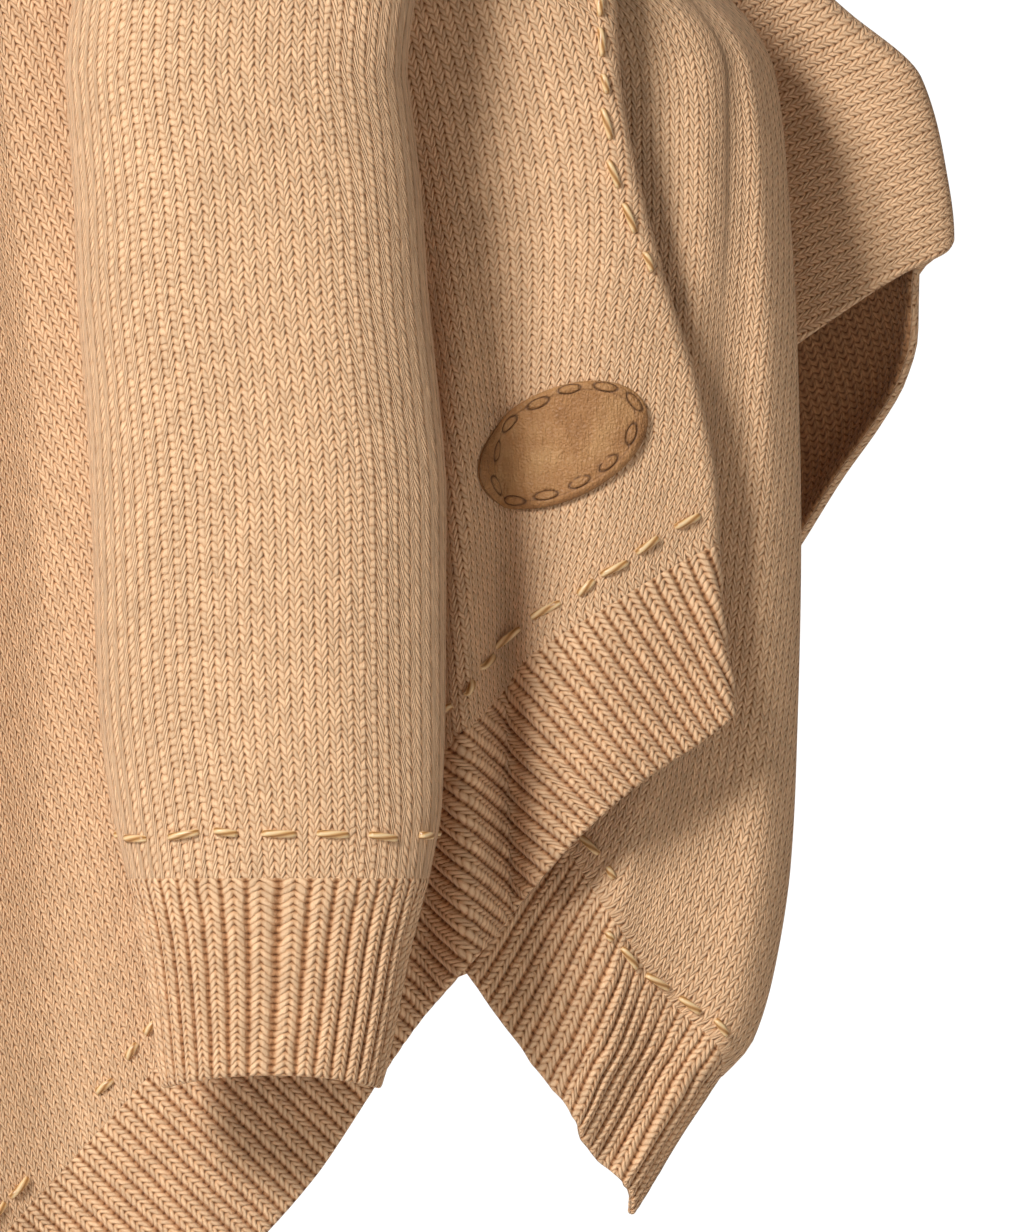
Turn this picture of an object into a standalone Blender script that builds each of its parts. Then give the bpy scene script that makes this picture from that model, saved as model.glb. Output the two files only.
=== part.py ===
"""A knitted poncho with set-in sleeves, in the hollow form that it has when worn.

Every piece is a wall of cloth round an empty hollow. A piece is laid out on a flat pattern (a distance
across and a height), its fold function sends the pattern to space, and the wall is that surface moved
half its thickness each way. Sizes are in millimetres here and become metres as the meshes are made.
The front faces -Y, +Z is up, and the origin is at the base of the neck on the centre line.
"""

import math

import bmesh
import bpy
import numpy as np

WALL = 3.0  # thickness of the knitted cloth
SEAM = 0.4  # gap left between two pieces where they are linked
SHOULDER_GAP = 0.6  # the back panel's shoulder edge lies this far behind the ridge's plane
SIDE_GAP = 0.8  # the side panel's edge lies this far in front of the back panel's
LIFT_OFF = 1.0  # what is sewn onto a panel stands this much further off its folded face
HEM_GAP = 1.2  # the same between a panel and its ribbed hem, measured straight down a slanting line
RIB_PITCH = 6.5  # from one rib to the next
RIB_RISE = 0.9  # how far a rib stands above the wall, and its valley lies below
NECK_REACH = 90.0  # half the width of the neck opening
NECK_TOP = -4.0  # height of the neck opening's sides and back
NECK_DROP = 62.0  # how much lower the front of the neck opening lies
SEAM_START = -100.0  # height at which the side panel joins the back panel's ridge
SEAM_END = -322.0  # height at which that seam ends and the side slit opens

# The ridge that runs from the neck over the shoulder and along the wing: reach from the centre, height.
RIDGE = (
    (0, 30), (45, 21), (90, -4), (140, -22), (200, -45), (235, -72), (268, -100),
    (325, -150), (380, -200), (420, -235), (449, -261), (458, -294), (461.5, -322),
)
# The free edge of the back panel below the side seam: height, reach.
BACK_EDGE = (
    (-322, 461.5), (-336, 447), (-360, 446.5), (-377, 442), (-393, 433), (-415, 417.5),
    (-440, 402), (-480, 376), (-520, 350), (-560, 322), (-640, 276), (-800, 190), (-900, 150),
)
# How deep the worn cloth stands in front of and behind the ridge: reach, front, back.
DEPTH = ((0, 116, 118), (200, 111, 114), (300, 106, 96), (380, 100, 70), (470, 92, 36))
# Height over which the cloth rounds off from the ridge to that depth: reach, height.
ROUNDING = ((0, 170), (90, 150), (200, 100), (330, 150), (470, 190))

# The front panel's rolled free edge: height, reach.
FRONT_EDGE = (
    (-140, 324), (-200, 329), (-263, 332), (-302, 339), (-340, 349), (-386, 363),
    (-425, 369.6), (-463, 370.4), (-507, 376.5), (-560, 384),
)
# How much cloth turns back round that edge: height, length.
FRONT_TURN = ((-140, 2), (-261, 3), (-330, 8), (-400, 14), (-436, 17.6))
EDGE_ROLL = 5.0  # radius of the rolled edge
MOST_TURN = 2.7  # the roll's largest angle in radians, past which the cloth runs straight back

# The front panel's folds, the same on both sides: reach at the top and foot, height of the top and
# foot, half width, and height towards the viewer.
FRONT_FOLDS = (
    (40, 70, -150, -800, 26, 9), (95, 118, -210, -700, 20, -7), (150, 176, -300, -700, 22, 4),
    (244, 258, -230, -620, 13, -8), (270, 273, -330, -560, 8, 6), (287, 292, -424, -620, 9, -11),
    (322, 334, -230, -560, 24, 6),
)
# The front hem: the line where its ribs start and the line where they end, as reach and height.
FRONT_HEM = (
    (0, -772, 0, -846), (36, -758, 58, -826), (72, -733, 112, -790), (106, -697, 158, -746),
    (140, -661, 192, -712), (164, -634, 215, -686), (209, -586, 254, -628), (240, -551, 286, -591),
    (272, -517, 316, -556), (302, -484, 342, -533), (331, -465, 366, -517), (352, -452, 380, -506),
    (370, -443, 391, -499), (387.6, -436, 402, -493),
)

# The back panel's folds: reach at the top and foot, height of the top and foot, half width, rise.
BACK_FOLDS = (
    (0, 0, -260, -800, 30, 9), (70, 84, -180, -720, 24, -9), (150, 168, -150, -640, 28, 10),
    (225, 238, -200, -600, 22, -10), (300, 306, -200, -520, 26, 7),
)
# The line where the back panel's hem starts: share of the reach, height.
BACK_FOOT = ((0, -675), (0.3, -612), (0.5, -570), (0.7, -534), (0.85, -508), (1, -488))
BACK_RIB_LEAN = ((0, 0), (0.3, 30), (0.7, 30), (1, 18))  # share of the reach, degrees outwards
BACK_ROWS = (
    -4, -9, -20, -45, -72, -100, -150, -205, -261, -300, -322, -336, -360, -393, -425, -458, -488,
)
BACK_RIB_LENGTH = 66.0

# The side panel's plan at each height: closing of its folds, reach of the free front edge, of the front
# ridge, of the trough, of the outer turn and its radius, of the hidden inner turn and its radius,
# the gap behind the front panel and the depth over which the folds are spread.
SIDE_PLAN = (
    (-100, 0.0, 226, 240, 250, 256, 5, 246, 6, 12, 3),
    (-150, 0.25, 232, 282, 292, 300, 6, 268, 8, 15, 22),
    (-205, 0.75, 238, 330, 341, 354, 8, 268, 10, 18, 55),
    (-261, 1.0, 242, 364, 374, 392, 9, 270, 12, 20, 78),
    (-310, 1.0, 244, 363, 375, 397, 10, 270, 13, 20, 80),
    (-365, 1.0, 245, 360, 374, 400, 11, 270, 13, 20, 80),
    (-440, 1.0, 245, 352, 370, 401.5, 12, 270, 13, 20, 80),
    (-530, 1.0, 245, 343, 364, 399.5, 12, 268, 13, 20, 80),
    (-565, 1.0, 245, 335, 360, 397.5, 12, 266, 12, 18, 80),
    (-602, 1.0, 244, 328, 353, 392, 12, 264, 12, 16, 76),
    (-633, 1.0, 243, 327, 350, 383, 11, 262, 12, 16, 72),
    (-653, 1.0, 240, 320, 341, 365.5, 9, 258, 12, 16, 68),
    (-700, 1.0, 236, 300, 316, 338, 9, 250, 12, 16, 64),
    (-760, 1.0, 230, 284, 298, 318, 9, 240, 12, 16, 60),
)
# Where each key of that plan lies in the spread: the keys run from the wing's tip to the front edge.
SIDE_SPREAD = (0, 0, 1.0, 0.94, 0.78, 0.62, 0.56, 0.46, 0.30, 0.13, 0.12, 0.0, 0.03, 0.06)
# The side panel's lower outline: plan key, height. It is a free edge up to the key SIDE_HEM_KEY.
SIDE_FOOT = (
    (0, -322), (0.5, -327), (1, -334), (2, -391), (3, -462), (4, -474), (5, -488), (6, -552),
    (6.75, -664), (7, -662), (8, -650), (9, -637), (10, -619), (11, -588), (12, -537), (13, -497),
)
SIDE_HEM_KEY = 6.75
# How far the side hem's ribs lean towards the front edge as they go down: plan key, degrees.
SIDE_RIB_LEAN = ((6.75, 38), (8, 36), (9.5, 30), (10.6, 22), (11.4, 32), (12.2, 40), (13, 42))
SIDE_RIB_LENGTH = 64.0

# The sleeve where it hangs: height, left side, right side, half depth.
SLEEVE = (
    (-262, 121, 249, 29), (-310, 124.5, 254.5, 29), (-348, 126, 257, 28.5), (-386, 129, 261, 28),
    (-425, 131, 264, 28), (-502, 134, 264, 27.5), (-540, 138.5, 263, 27), (-571, 145.5, 257.8, 26.5),
)
CUFF = (
    (-571.4, 146.5, 257.6, 26.5), (-594, 151.5, 250.8, 25.5), (-617, 155, 246, 24),
    (-648, 158.5, 239.5, 22),
)
SLEEVE_MIDDLE = -156.0  # how far forward the hanging sleeve's middle lies
SLEEVE_SQUARE = 2.3  # exponent of its section: 2 is an ellipse
ARMHOLE = (203.0, -142.0, 58.0, 76.0)  # reach, height, half width and half height on the front panel
CUFF_RIBS = 36

LABEL = (309.6, -403.8, 35.6, 21.2)  # reach, height, half length and half width
LABEL_TILT = math.radians(26.6)
LABEL_THICKNESS = 2.4
NECKBAND_HEIGHT = 24.0
NECK_INSET = 4.4  # gap between the neckband and the straight stretches of the neck edge

CAMEL = (0.66, 0.40, 0.20, 1.0)
TAN_LEATHER = (0.48, 0.27, 0.11, 1.0)


def smooth(rows, at, column=1):
    """Reads a column of a table at any value of its first one, as a curve that never overshoots."""
    xs = np.array([row[0] for row in rows], float)
    ys = np.array([row[column] for row in rows], float)
    if xs[0] > xs[-1]:
        xs, ys = xs[::-1], ys[::-1]
    secant = np.diff(ys) / np.diff(xs)
    both = secant[:-1] * secant[1:]
    total = np.where(both > 0, secant[:-1] + secant[1:], 1.0)
    slope = np.concatenate([secant[:1], np.where(both > 0, 2 * both / total, 0.0), secant[-1:]])
    at = np.asarray(at, float)
    i = np.clip(np.searchsorted(xs, at) - 1, 0, len(xs) - 2)
    step = xs[i + 1] - xs[i]
    t = np.clip((at - xs[i]) / step, 0.0, 1.0)
    start = (1 + 2 * t) * (1 - t) ** 2 * ys[i] + t * (1 - t) ** 2 * step * slope[i]
    end = t * t * (3 - 2 * t) * ys[i + 1] + t * t * (t - 1) * step * slope[i + 1]
    return start + end


def ease(value):
    value = np.clip(value, 0.0, 1.0)
    return value * value * (3 - 2 * value)


def ridge_height(reach):
    return smooth(RIDGE, np.abs(reach))


def ridge_reach(height):
    """Reach of the ridge at a height below the neck, then of the back panel's free edge."""
    ridge = [(z, x) for x, z in RIDGE if x >= NECK_REACH]
    return smooth(ridge + list(BACK_EDGE[1:]), height)


def ridge_depth(height):
    """How far behind the centre plane the ridge runs."""
    return smooth(((-4, 0), (-45, 2), (-100, 6), (-150, 10), (-261, 18), (-322, 22), (-560, 60)), height)


def overlap_lift(reach):
    """How far the front panel's top is lifted, where it lies over the wing's ridge."""
    return 9.0 * ease((np.abs(reach) - 215) / 45)


def worn_depth(reach, height, column, lift=0.0):
    """Depth of the front (column 1) or the back (column 2): a quarter ellipse down from the ridge."""
    reach = np.abs(reach)
    share = np.clip((ridge_height(reach) + lift - height) / smooth(ROUNDING, reach), 0.0, 1.0)
    return smooth(DEPTH, reach, column) * np.sqrt(1 - (1 - share) ** 2)


def fold_rise(folds, reach, height):
    """The sum of soft ridges and troughs, each of which grows from nothing at its top."""
    reach = np.abs(reach)
    total = 0.0
    for top_reach, foot_reach, top, foot, half_width, rise in folds:
        down = np.clip((top - height) / (top - foot), 0.0, 1.0)
        across = (reach - top_reach - (foot_reach - top_reach) * down) / half_width
        total = total + rise * ease(down * 2.5) * np.exp(-across * across)
    return total


def front_surface(across, height):
    """The front panel: a height field over reach and height, whose free edges roll back."""
    reach = np.abs(across)
    start = smooth(FRONT_EDGE, height) - EDGE_ROLL
    turn = np.clip((reach - start) / EDGE_ROLL, 0.0, MOST_TURN)
    past = np.maximum(reach - start - EDGE_ROLL * MOST_TURN, 0.0)
    rolled = start + EDGE_ROLL * np.sin(turn) + past * math.cos(MOST_TURN)
    x = np.where(reach < start, reach, rolled)
    back = EDGE_ROLL * (1 - np.cos(turn)) + past * math.sin(MOST_TURN)
    flat = np.minimum(reach, start + EDGE_ROLL)
    y = back - worn_depth(flat, height, 1, overlap_lift(flat)) - fold_rise(FRONT_FOLDS, flat, height)
    return np.stack([np.sign(across) * x, y, height + 0 * x], axis=-1)


def through(keys, at, first=None, last=None):
    """A Catmull-Rom curve through keys (a list of (x, y) arrays) at positions counted in keys.

    first and last are the points before and after them that set the curve's direction at its ends.
    """
    count = len(keys)
    first = first or [2 * keys[0][c] - keys[1][c] for c in (0, 1)]
    last = last or [2 * keys[-1][c] - keys[-2][c] for c in (0, 1)]
    stack = np.array([first] + [list(k) for k in keys] + [last])
    i = np.clip(np.floor(at).astype(int), 0, count - 2)
    t = at - i

    def pick(c, offset):
        return np.take_along_axis(stack[:, c], (i + offset)[None], axis=0)[0]

    out = []
    for c in (0, 1):
        a, b, d, e = (pick(c, n) for n in range(4))
        bend = 2 * a - 5 * b + 4 * d - e
        out.append(b + 0.5 * t * (d - a + t * (bend + t * (3 * b - 3 * d + e - a))))
    return out


def back_surface(across, height):
    """The back panel: across runs from -1 to 1 between its two edges, where it turns towards the front."""
    share = np.abs(across)
    edge = ridge_reach(height)
    roll = 2 + 10 * ease((-30 - height) / 120)
    depth = ridge_depth(height) + SHOULDER_GAP
    fractions = (0.0, 0.22, 0.44, 0.64, 0.83)
    keys = []
    for fraction in fractions:
        x = fraction * edge
        y = worn_depth(x, height, 2) + fold_rise(BACK_FOLDS, x, height)
        keys.append((x, y + SHOULDER_GAP))
    keys.append((edge - roll, np.maximum(worn_depth(edge - roll, height, 2), depth + roll)))
    keys.append((edge, depth))
    keys.insert(0, (-keys[1][0], keys[1][1]))
    beyond = [keys[-2][0], 2 * depth - keys[-2][1]]
    x, y = through(keys, 1 + share * (len(keys) - 2), last=beyond)
    return np.stack([np.sign(across) * x, y, height + 0 * x], axis=-1)


def side_keys(height):
    """The side panel's plan: 14 points from the wing's tip through its folds to the front edge."""
    height = np.asarray(height, float)
    plan = [smooth(SIDE_PLAN, height, column) for column in range(1, 11)]
    closed, front, ridge, trough, outer, outer_r, inner, inner_r, gap, spread = plan
    closed = ease(closed)
    tip = ridge_reach(np.maximum(height, SEAM_END))
    folded = [
        tip, tip - 13, 0.5 * (tip + inner), inner + inner_r, inner, inner + inner_r,
        0.5 * (inner + outer), outer - outer_r, outer, outer - outer_r,
        trough, ridge, 0.5 * (ridge + front), front,
    ]
    last = len(folded) - 1
    keys = []
    for index, x in enumerate(folded):
        plain = tip + (front - tip) * index / last
        x = plain + (x - plain) * closed
        y = gap - worn_depth(x, height, 1) + spread * SIDE_SPREAD[index]
        keys.append([x, y])
    keys[0][1] = ridge_depth(height) + SHOULDER_GAP - SIDE_GAP
    keys[1][1] = np.minimum(keys[0][1] - 3 - 9 * closed, keys[2][1] + 12 * closed)
    return keys


def side_surface(along, height):
    """The left side panel: along counts the plan's keys from the wing's tip to the front edge."""
    height = height + 0.0 * along
    keys = side_keys(height)
    before = [keys[1][0], 2 * keys[0][1] - keys[1][1]]
    x, y = through(keys, along + 0.0 * height, first=before)
    return np.stack([x, y, height], axis=-1)


def normals(surface, across, height, step=0.02, side=1.0):
    """Unit normals of a surface by finite differences, on the side where the cloth's face is."""
    over = surface(across + step, height) - surface(across - step, height)
    down = surface(across, height + 0.5) - surface(across, height - 0.5)
    normal = side * np.cross(over, down)
    return normal / np.linalg.norm(normal, axis=-1, keepdims=True)


def knit_material(name, colour, roughness):
    material = bpy.data.materials.new(name)
    material.use_nodes = True
    shader = material.node_tree.nodes["Principled BSDF"]
    shader.inputs["Base Color"].default_value = colour
    shader.inputs["Roughness"].default_value = roughness
    return material


def make_object(name, points, faces, material, collection):
    """A closed mesh from points in millimetres, its faces turned to point out."""
    mesh = bpy.data.meshes.new(name)
    mesh.from_pydata((np.asarray(points) * 0.001).tolist(), [], faces)
    body = bmesh.new()
    body.from_mesh(mesh)
    bmesh.ops.recalc_face_normals(body, faces=body.faces)
    body.to_mesh(mesh)
    body.free()
    mesh.shade_smooth()
    mesh.set_sharp_from_angle(angle=math.radians(40))
    mesh.materials.append(material)
    piece = bpy.data.objects.new(name, mesh)
    collection.objects.link(piece)
    return piece


def sheet(outer, inner, cells=None, ring=False):
    """Points and faces of a wall between two grids of points. cells says which cells are cloth."""
    rows, columns = outer.shape[:2]
    wide = columns if ring else columns - 1
    if cells is None:
        cells = np.ones((rows - 1, wide), bool)
    number = -np.ones((rows, columns), int)
    faces = []
    edges = {}
    used = []

    def vertex(i, j):
        j = j % columns
        if number[i, j] < 0:
            number[i, j] = len(used)
            used.append((i, j))
        return number[i, j]

    for i, j in zip(*np.nonzero(cells)):
        quad = [vertex(i, j), vertex(i, j + 1), vertex(i + 1, j + 1), vertex(i + 1, j)]
        faces.append(quad)
        for a, b in zip(quad, quad[1:] + quad[:1]):
            edges[(a, b)] = edges.get((a, b), 0) + 1
    count = len(used)
    back = [[v + count for v in reversed(quad)] for quad in faces]
    rim = [[b, a, a + count, b + count] for a, b in edges if (b, a) not in edges]
    points = [outer[i, j] for i, j in used] + [inner[i, j] for i, j in used]
    return points, faces + back + rim


def ribbed(outer, inner, ring=False):
    """Points and faces of a wall whose outer grid has two columns for each column of its plain inside."""
    rows, columns = outer.shape[:2]
    inner_columns = inner.shape[1]
    points = list(outer.reshape(-1, 3)) + list(inner.reshape(-1, 3))
    base = rows * columns

    def out(i, j):
        return i * columns + j % columns

    def inn(i, j):
        return base + i * inner_columns + j % inner_columns

    spans = inner_columns if ring else inner_columns - 1
    faces = []
    for i in range(rows - 1):
        for j in range(2 * spans):
            faces.append([out(i, j), out(i, j + 1), out(i + 1, j + 1), out(i + 1, j)])
        for j in range(spans):
            faces.append([inn(i + 1, j), inn(i + 1, j + 1), inn(i, j + 1), inn(i, j)])
    for j in range(spans):
        for i, turned in ((0, False), (rows - 1, True)):
            face = [out(i, 2 * j + 2), out(i, 2 * j + 1), out(i, 2 * j), inn(i, j), inn(i, j + 1)]
            faces.append(face[::-1] if turned else face)
    if not ring:
        for i in range(rows - 1):
            end_out, end_in = columns - 1, inner_columns - 1
            faces.append([out(i, 0), out(i + 1, 0), inn(i + 1, 0), inn(i, 0)])
            faces.append([out(i + 1, end_out), out(i, end_out), inn(i, end_in), inn(i + 1, end_in)])
    return points, faces


def rib_wall(middle, normal, ring=False):
    """A ribbed wall from the middle surface's grid: even columns are ribs, odd ones valleys."""
    count = middle.shape[1]
    rise = np.where(np.arange(count) % 2 == 0, -RIB_RISE, RIB_RISE)[None, :, None]
    outer = middle + normal * (WALL / 2 + rise)
    inner = (middle - normal * WALL / 2)[:, ::2]
    return ribbed(outer, inner, ring)


def mirrored(points):
    return [np.array([-p[0], p[1], p[2]]) for p in points]


def side_reach(height):
    """How far the front panel's cloth reaches across its pattern at a height, its turned edge too."""
    height = np.clip(height, FRONT_TURN[-1][0], FRONT_TURN[0][0])
    return smooth(FRONT_EDGE, height) + smooth(FRONT_TURN, height)


def front_top(across):
    """The front panel's upper outline: the neck's curve, the shoulder, then over the wing's ridge."""
    reach = np.abs(across)
    neck = NECK_TOP - NECK_DROP * np.sqrt(np.clip(1 - (reach / NECK_REACH) ** 2, 0.0, 1.0))
    shoulder = ridge_height(np.maximum(reach, NECK_REACH)) + overlap_lift(reach)
    return np.where(reach < NECK_REACH, neck, shoulder)


def front_foot(across):
    return smooth([(row[0], row[1]) for row in FRONT_HEM], np.abs(across))


def front_normal(across, height):
    return normals(front_surface, across, height, step=0.5)


def back_normal(across, height):
    return normals(back_surface, np.clip(across, -0.998, 0.998), height, step=0.002, side=-1.0)


def side_normal(along, height):
    return normals(side_surface, np.clip(along, 0.03, 12.97), height, side=-1.0)


def panel_edge(surface, normal, foot, columns, at):
    """A panel's lower edge as its mesh has it, straight in space between its columns.

    Returns its middle points and normals at the pattern positions given, and their heights.
    """
    level = foot(columns)
    corners, tilt = surface(columns, level), normal(columns, level)
    j = np.clip(np.searchsorted(columns, at) - 1, 0, len(columns) - 2)
    chord = corners[j + 1] - corners[j]
    here = surface(at, np.interp(at, columns, level))
    share = np.sum((here - corners[j]) * chord, axis=-1) / np.sum(chord * chord, axis=-1)
    share = np.clip(share, 0.0, 1.0)[:, None]
    points = corners[j] + chord * share
    return points, tilt[j] + (tilt[j + 1] - tilt[j]) * share, points[:, 2]


def hem_wall(edge, middle, normal):
    """A ribbed hem whose first row follows its panel's edge and whose other rows lie on the surface."""
    points, tilt, _ = edge
    middle, normal = middle.copy(), normal.copy()
    middle[0] = points - np.array([0, 0, HEM_GAP])
    normal[0] = tilt
    return rib_wall(middle, normal)


def front_columns():
    half = np.concatenate(
        [np.linspace(0, 0.62, 10)[:-1], np.linspace(0.62, 0.9, 10)[:-1], np.linspace(0.9, 1, 7)]
    )
    return np.concatenate([-half[:0:-1], half])


def back_columns():
    half = np.concatenate([np.linspace(0, 0.84, 11)[:-1], np.linspace(0.84, 1, 5)])
    return np.concatenate([-half[:0:-1], half])


def side_columns():
    return np.concatenate(
        [np.linspace(0, 1, 3)[:-1], np.linspace(1, 2, 3)[:-1], np.linspace(2, 6, 10)[:-1],
         [6.0, 6.4], np.linspace(SIDE_HEM_KEY, 10, 10)[:-1], np.linspace(10, 13, 6)]
    )


def front_pattern(columns, rows):
    """The front panel's grid on its pattern: columns are shares of its reach, rows run down."""
    down = np.linspace(0, 1, rows + 1)[:, None] ** 1.5
    top = front_top(columns * side_reach(FRONT_EDGE[0][0]))[None]
    foot = front_foot(columns * side_reach(FRONT_TURN[-1][0]))[None]
    height = top + (foot - top) * down
    across = columns[None] * side_reach(height)
    return across, height


def armhole_cells(across, height):
    """Which cells of the front panel are cloth, with the rim of each armhole moved onto its ellipse."""
    reach, level, half_wide, half_high = ARMHOLE
    middle_x = (across[:-1, :-1] + across[1:, 1:]) / 2
    middle_z = (height[:-1, :-1] + height[1:, 1:]) / 2
    inside = ((np.abs(middle_x) - reach) / half_wide) ** 2 + ((middle_z - level) / half_high) ** 2 < 1
    touch_cloth = np.zeros(across.shape, bool)
    touch_hole = np.zeros(across.shape, bool)
    for di in (0, 1):
        for dj in (0, 1):
            view = np.s_[di : across.shape[0] - 1 + di, dj : across.shape[1] - 1 + dj]
            touch_hole[view] |= inside
            touch_cloth[view] |= ~inside
    rim = touch_hole & touch_cloth
    side = np.sign(across)
    angle = np.arctan2((height - level) / half_high, (np.abs(across) - reach) / half_wide)
    across = np.where(rim, side * (reach + half_wide * np.cos(angle)), across)
    height = np.where(rim, level + half_high * np.sin(angle), height)
    return across, height, ~inside, rim, angle


def build_front(collection, material):
    """The front panel, and the angles round its armhole at which the sleeve is sewn on."""
    across, height = front_pattern(front_columns(), 13)
    across, height, cells, rim, angle = armhole_cells(across, height)
    middle = front_surface(across, height)
    normal = front_normal(across, height)
    points, faces = sheet(middle + normal * WALL / 2, middle - normal * WALL / 2, cells)
    make_object("front_panel", points, faces, material, collection)
    return np.sort(angle[rim & (across > 0)])


def even_columns(length_of, most, pitch):
    """Positions from 0 to most, an even number of steps, spaced evenly by length_of."""
    fine = np.linspace(0, most, 800)
    length = length_of(fine)
    ribs = int(round(length[-1] / pitch))
    return np.interp(np.linspace(0, length[-1], 2 * ribs + 1), length, fine)


def measured_along(points):
    steps = np.linalg.norm(np.diff(points, axis=0), axis=1)
    return np.concatenate([[0], np.cumsum(steps)])


def build_front_hem(collection, material):
    rows = [(index,) + row for index, row in enumerate(FRONT_HEM)]
    last = len(rows) - 1

    columns = front_columns() * side_reach(FRONT_TURN[-1][0])

    def start(at):
        x = smooth(rows, at, 1)
        return x, panel_edge(front_surface, front_normal, front_foot, columns, x)[2]

    def end(at):
        return smooth(rows, at, 3), smooth(rows, at, 4)

    def length(at):
        return measured_along(np.stack([(a + b) / 2 for a, b in zip(start(at), end(at))], axis=1))

    half = even_columns(length, last, RIB_PITCH)
    at = np.concatenate([half[:0:-1], half])
    side = np.concatenate([-np.ones(len(half) - 1), np.ones(len(half))])
    down = np.array([0.0, 1.0])[:, None]
    (x0, z0), (x1, z1) = start(at), end(at)
    across = side * (x0 + (x1 - x0) * down)
    height = z0 + (z1 - z0) * down
    edge = panel_edge(front_surface, front_normal, front_foot, columns, side * x0)
    middle = front_surface(across, height)
    points, faces = hem_wall(edge, middle, front_normal(across, height))
    make_object("front_hem_rib", points, faces, material, collection)


def back_foot(across):
    return smooth(BACK_FOOT, np.abs(across))


def build_back(collection, material):
    columns = back_columns()
    down = (np.array(BACK_ROWS) - NECK_TOP) / (BACK_ROWS[-1] - NECK_TOP)
    height = NECK_TOP + (back_foot(columns)[None] - NECK_TOP) * down[:, None]
    across = columns[None] + 0 * height
    middle = back_surface(across, height)
    normal = back_normal(across, height)
    points, faces = sheet(middle + normal * WALL / 2, middle - normal * WALL / 2)
    make_object("back_panel", points, faces, material, collection)


def walk_down(surface, along, height, lean, length, steps, span):
    """Pattern points down a rib that leans by an angle from a start point, measured on the cloth."""
    rows = [(along, height)]
    for _ in range(steps):
        over = (surface(along + span, height) - surface(along - span, height)) / (2 * span)
        rise = surface(along, height + 0.5) - surface(along, height - 0.5)
        speed = np.linalg.norm(over, axis=-1)
        shear = np.sum(rise * over, axis=-1) / speed
        steep = np.sqrt(np.sum(rise * rise, axis=-1) - shear**2)
        fall = np.cos(lean) * length / steps / steep
        along = along + (np.sin(lean) * length / steps + fall * shear) / speed
        height = height - fall
        rows.append((along, height))
    return np.array([row[0] for row in rows]), np.array([row[1] for row in rows])


def build_back_hem(collection, material):
    def length(at):
        return measured_along(back_surface(at, back_foot(at)))

    half = even_columns(length, 1.0, RIB_PITCH)
    across = np.concatenate([-half[:0:-1], half])
    lean = np.sign(across) * np.radians(smooth(BACK_RIB_LEAN, np.abs(across)))
    edge = panel_edge(back_surface, back_normal, back_foot, back_columns(), across)
    across, height = walk_down(back_surface, across, edge[2], lean, BACK_RIB_LENGTH, 6, 0.01)
    across, height = across[::6], height[::6]
    points, faces = hem_wall(edge, back_surface(across, height), back_normal(across, height))
    make_object("back_hem_rib", points, faces, material, collection)


def side_foot(along):
    return smooth(SIDE_FOOT, along)


def build_side(collection, material):
    """Both side panels: the left one is worked out and the right one is its mirror image."""
    columns = side_columns()
    down = np.linspace(0, 1, 11)[:, None]
    height = SEAM_START + (side_foot(columns)[None] - SEAM_START) * down
    along = columns[None] + 0 * height
    middle = side_surface(along, height)
    normal = side_normal(along, height)
    points, faces = sheet(middle + normal * WALL / 2, middle - normal * WALL / 2)
    make_object("side_panel_left", points, faces, material, collection)
    make_object("side_panel_right", mirrored(points), faces, material, collection)


def build_side_hem(collection, material):
    def length(at):
        return measured_along(side_surface(at + SIDE_HEM_KEY, side_foot(at + SIDE_HEM_KEY)))

    along = SIDE_HEM_KEY + even_columns(length, 13 - SIDE_HEM_KEY, RIB_PITCH / math.cos(math.radians(5)))
    edge = panel_edge(side_surface, side_normal, side_foot, side_columns(), along)
    lean = np.radians(smooth(SIDE_RIB_LEAN, along))
    along, height = walk_down(side_surface, along, edge[2], lean, SIDE_RIB_LENGTH, 6, 0.02)
    along, height = along[::2], height[::2]
    points, faces = hem_wall(edge, side_surface(along, height), side_normal(along, height))
    make_object("side_hem_rib_left", points, faces, material, collection)
    make_object("side_hem_rib_right", mirrored(points), faces, material, collection)


def sleeve_ring(table, angle, height):
    """A point of the hanging sleeve: its flattened round section at a height."""
    left, right, depth = (smooth(table, height, column) for column in (1, 2, 3))
    power = 2 / SLEEVE_SQUARE
    across = np.sign(np.cos(angle)) * np.abs(np.cos(angle)) ** power
    forward = np.sign(np.sin(angle)) * np.abs(np.sin(angle)) ** power
    x = (left + right) / 2 + (right - left) / 2 * across
    return np.stack([x, SLEEVE_MIDDLE - depth * forward, height + 0 * x], axis=-1)


def sleeve_surface(angle, along):
    """The sleeve: along runs from 0 to 1 over the shoulder's curve, then 1 to 2 down to the cuff."""
    reach, level, half_wide, half_high = ARMHOLE
    across = reach + half_wide * np.cos(angle)
    height = level + half_high * np.sin(angle)
    out = front_normal(across, height)
    start = front_surface(across, height) + out * (WALL / 2 + SEAM + LIFT_OFF)
    end = sleeve_ring(SLEEVE, angle, SLEEVE[0][0] + 0 * angle)
    pull = 0.9 * np.linalg.norm(end - start, axis=-1, keepdims=True)
    t = np.clip(along, 0, 1)[..., None]
    curve = (1 + 2 * t) * (1 - t) ** 2 * start + t * (1 - t) ** 2 * pull * out
    fall = np.array([0.0, 0.0, -1.0]) * pull
    curve = curve + t * t * (3 - 2 * t) * end + t * t * (t - 1) * fall
    hang = SLEEVE[0][0] + (SLEEVE[-1][0] - SLEEVE[0][0]) * np.clip(along - 1, 0, 1)
    return np.where(along[..., None] <= 1, curve, sleeve_ring(SLEEVE, angle, hang))


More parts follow.
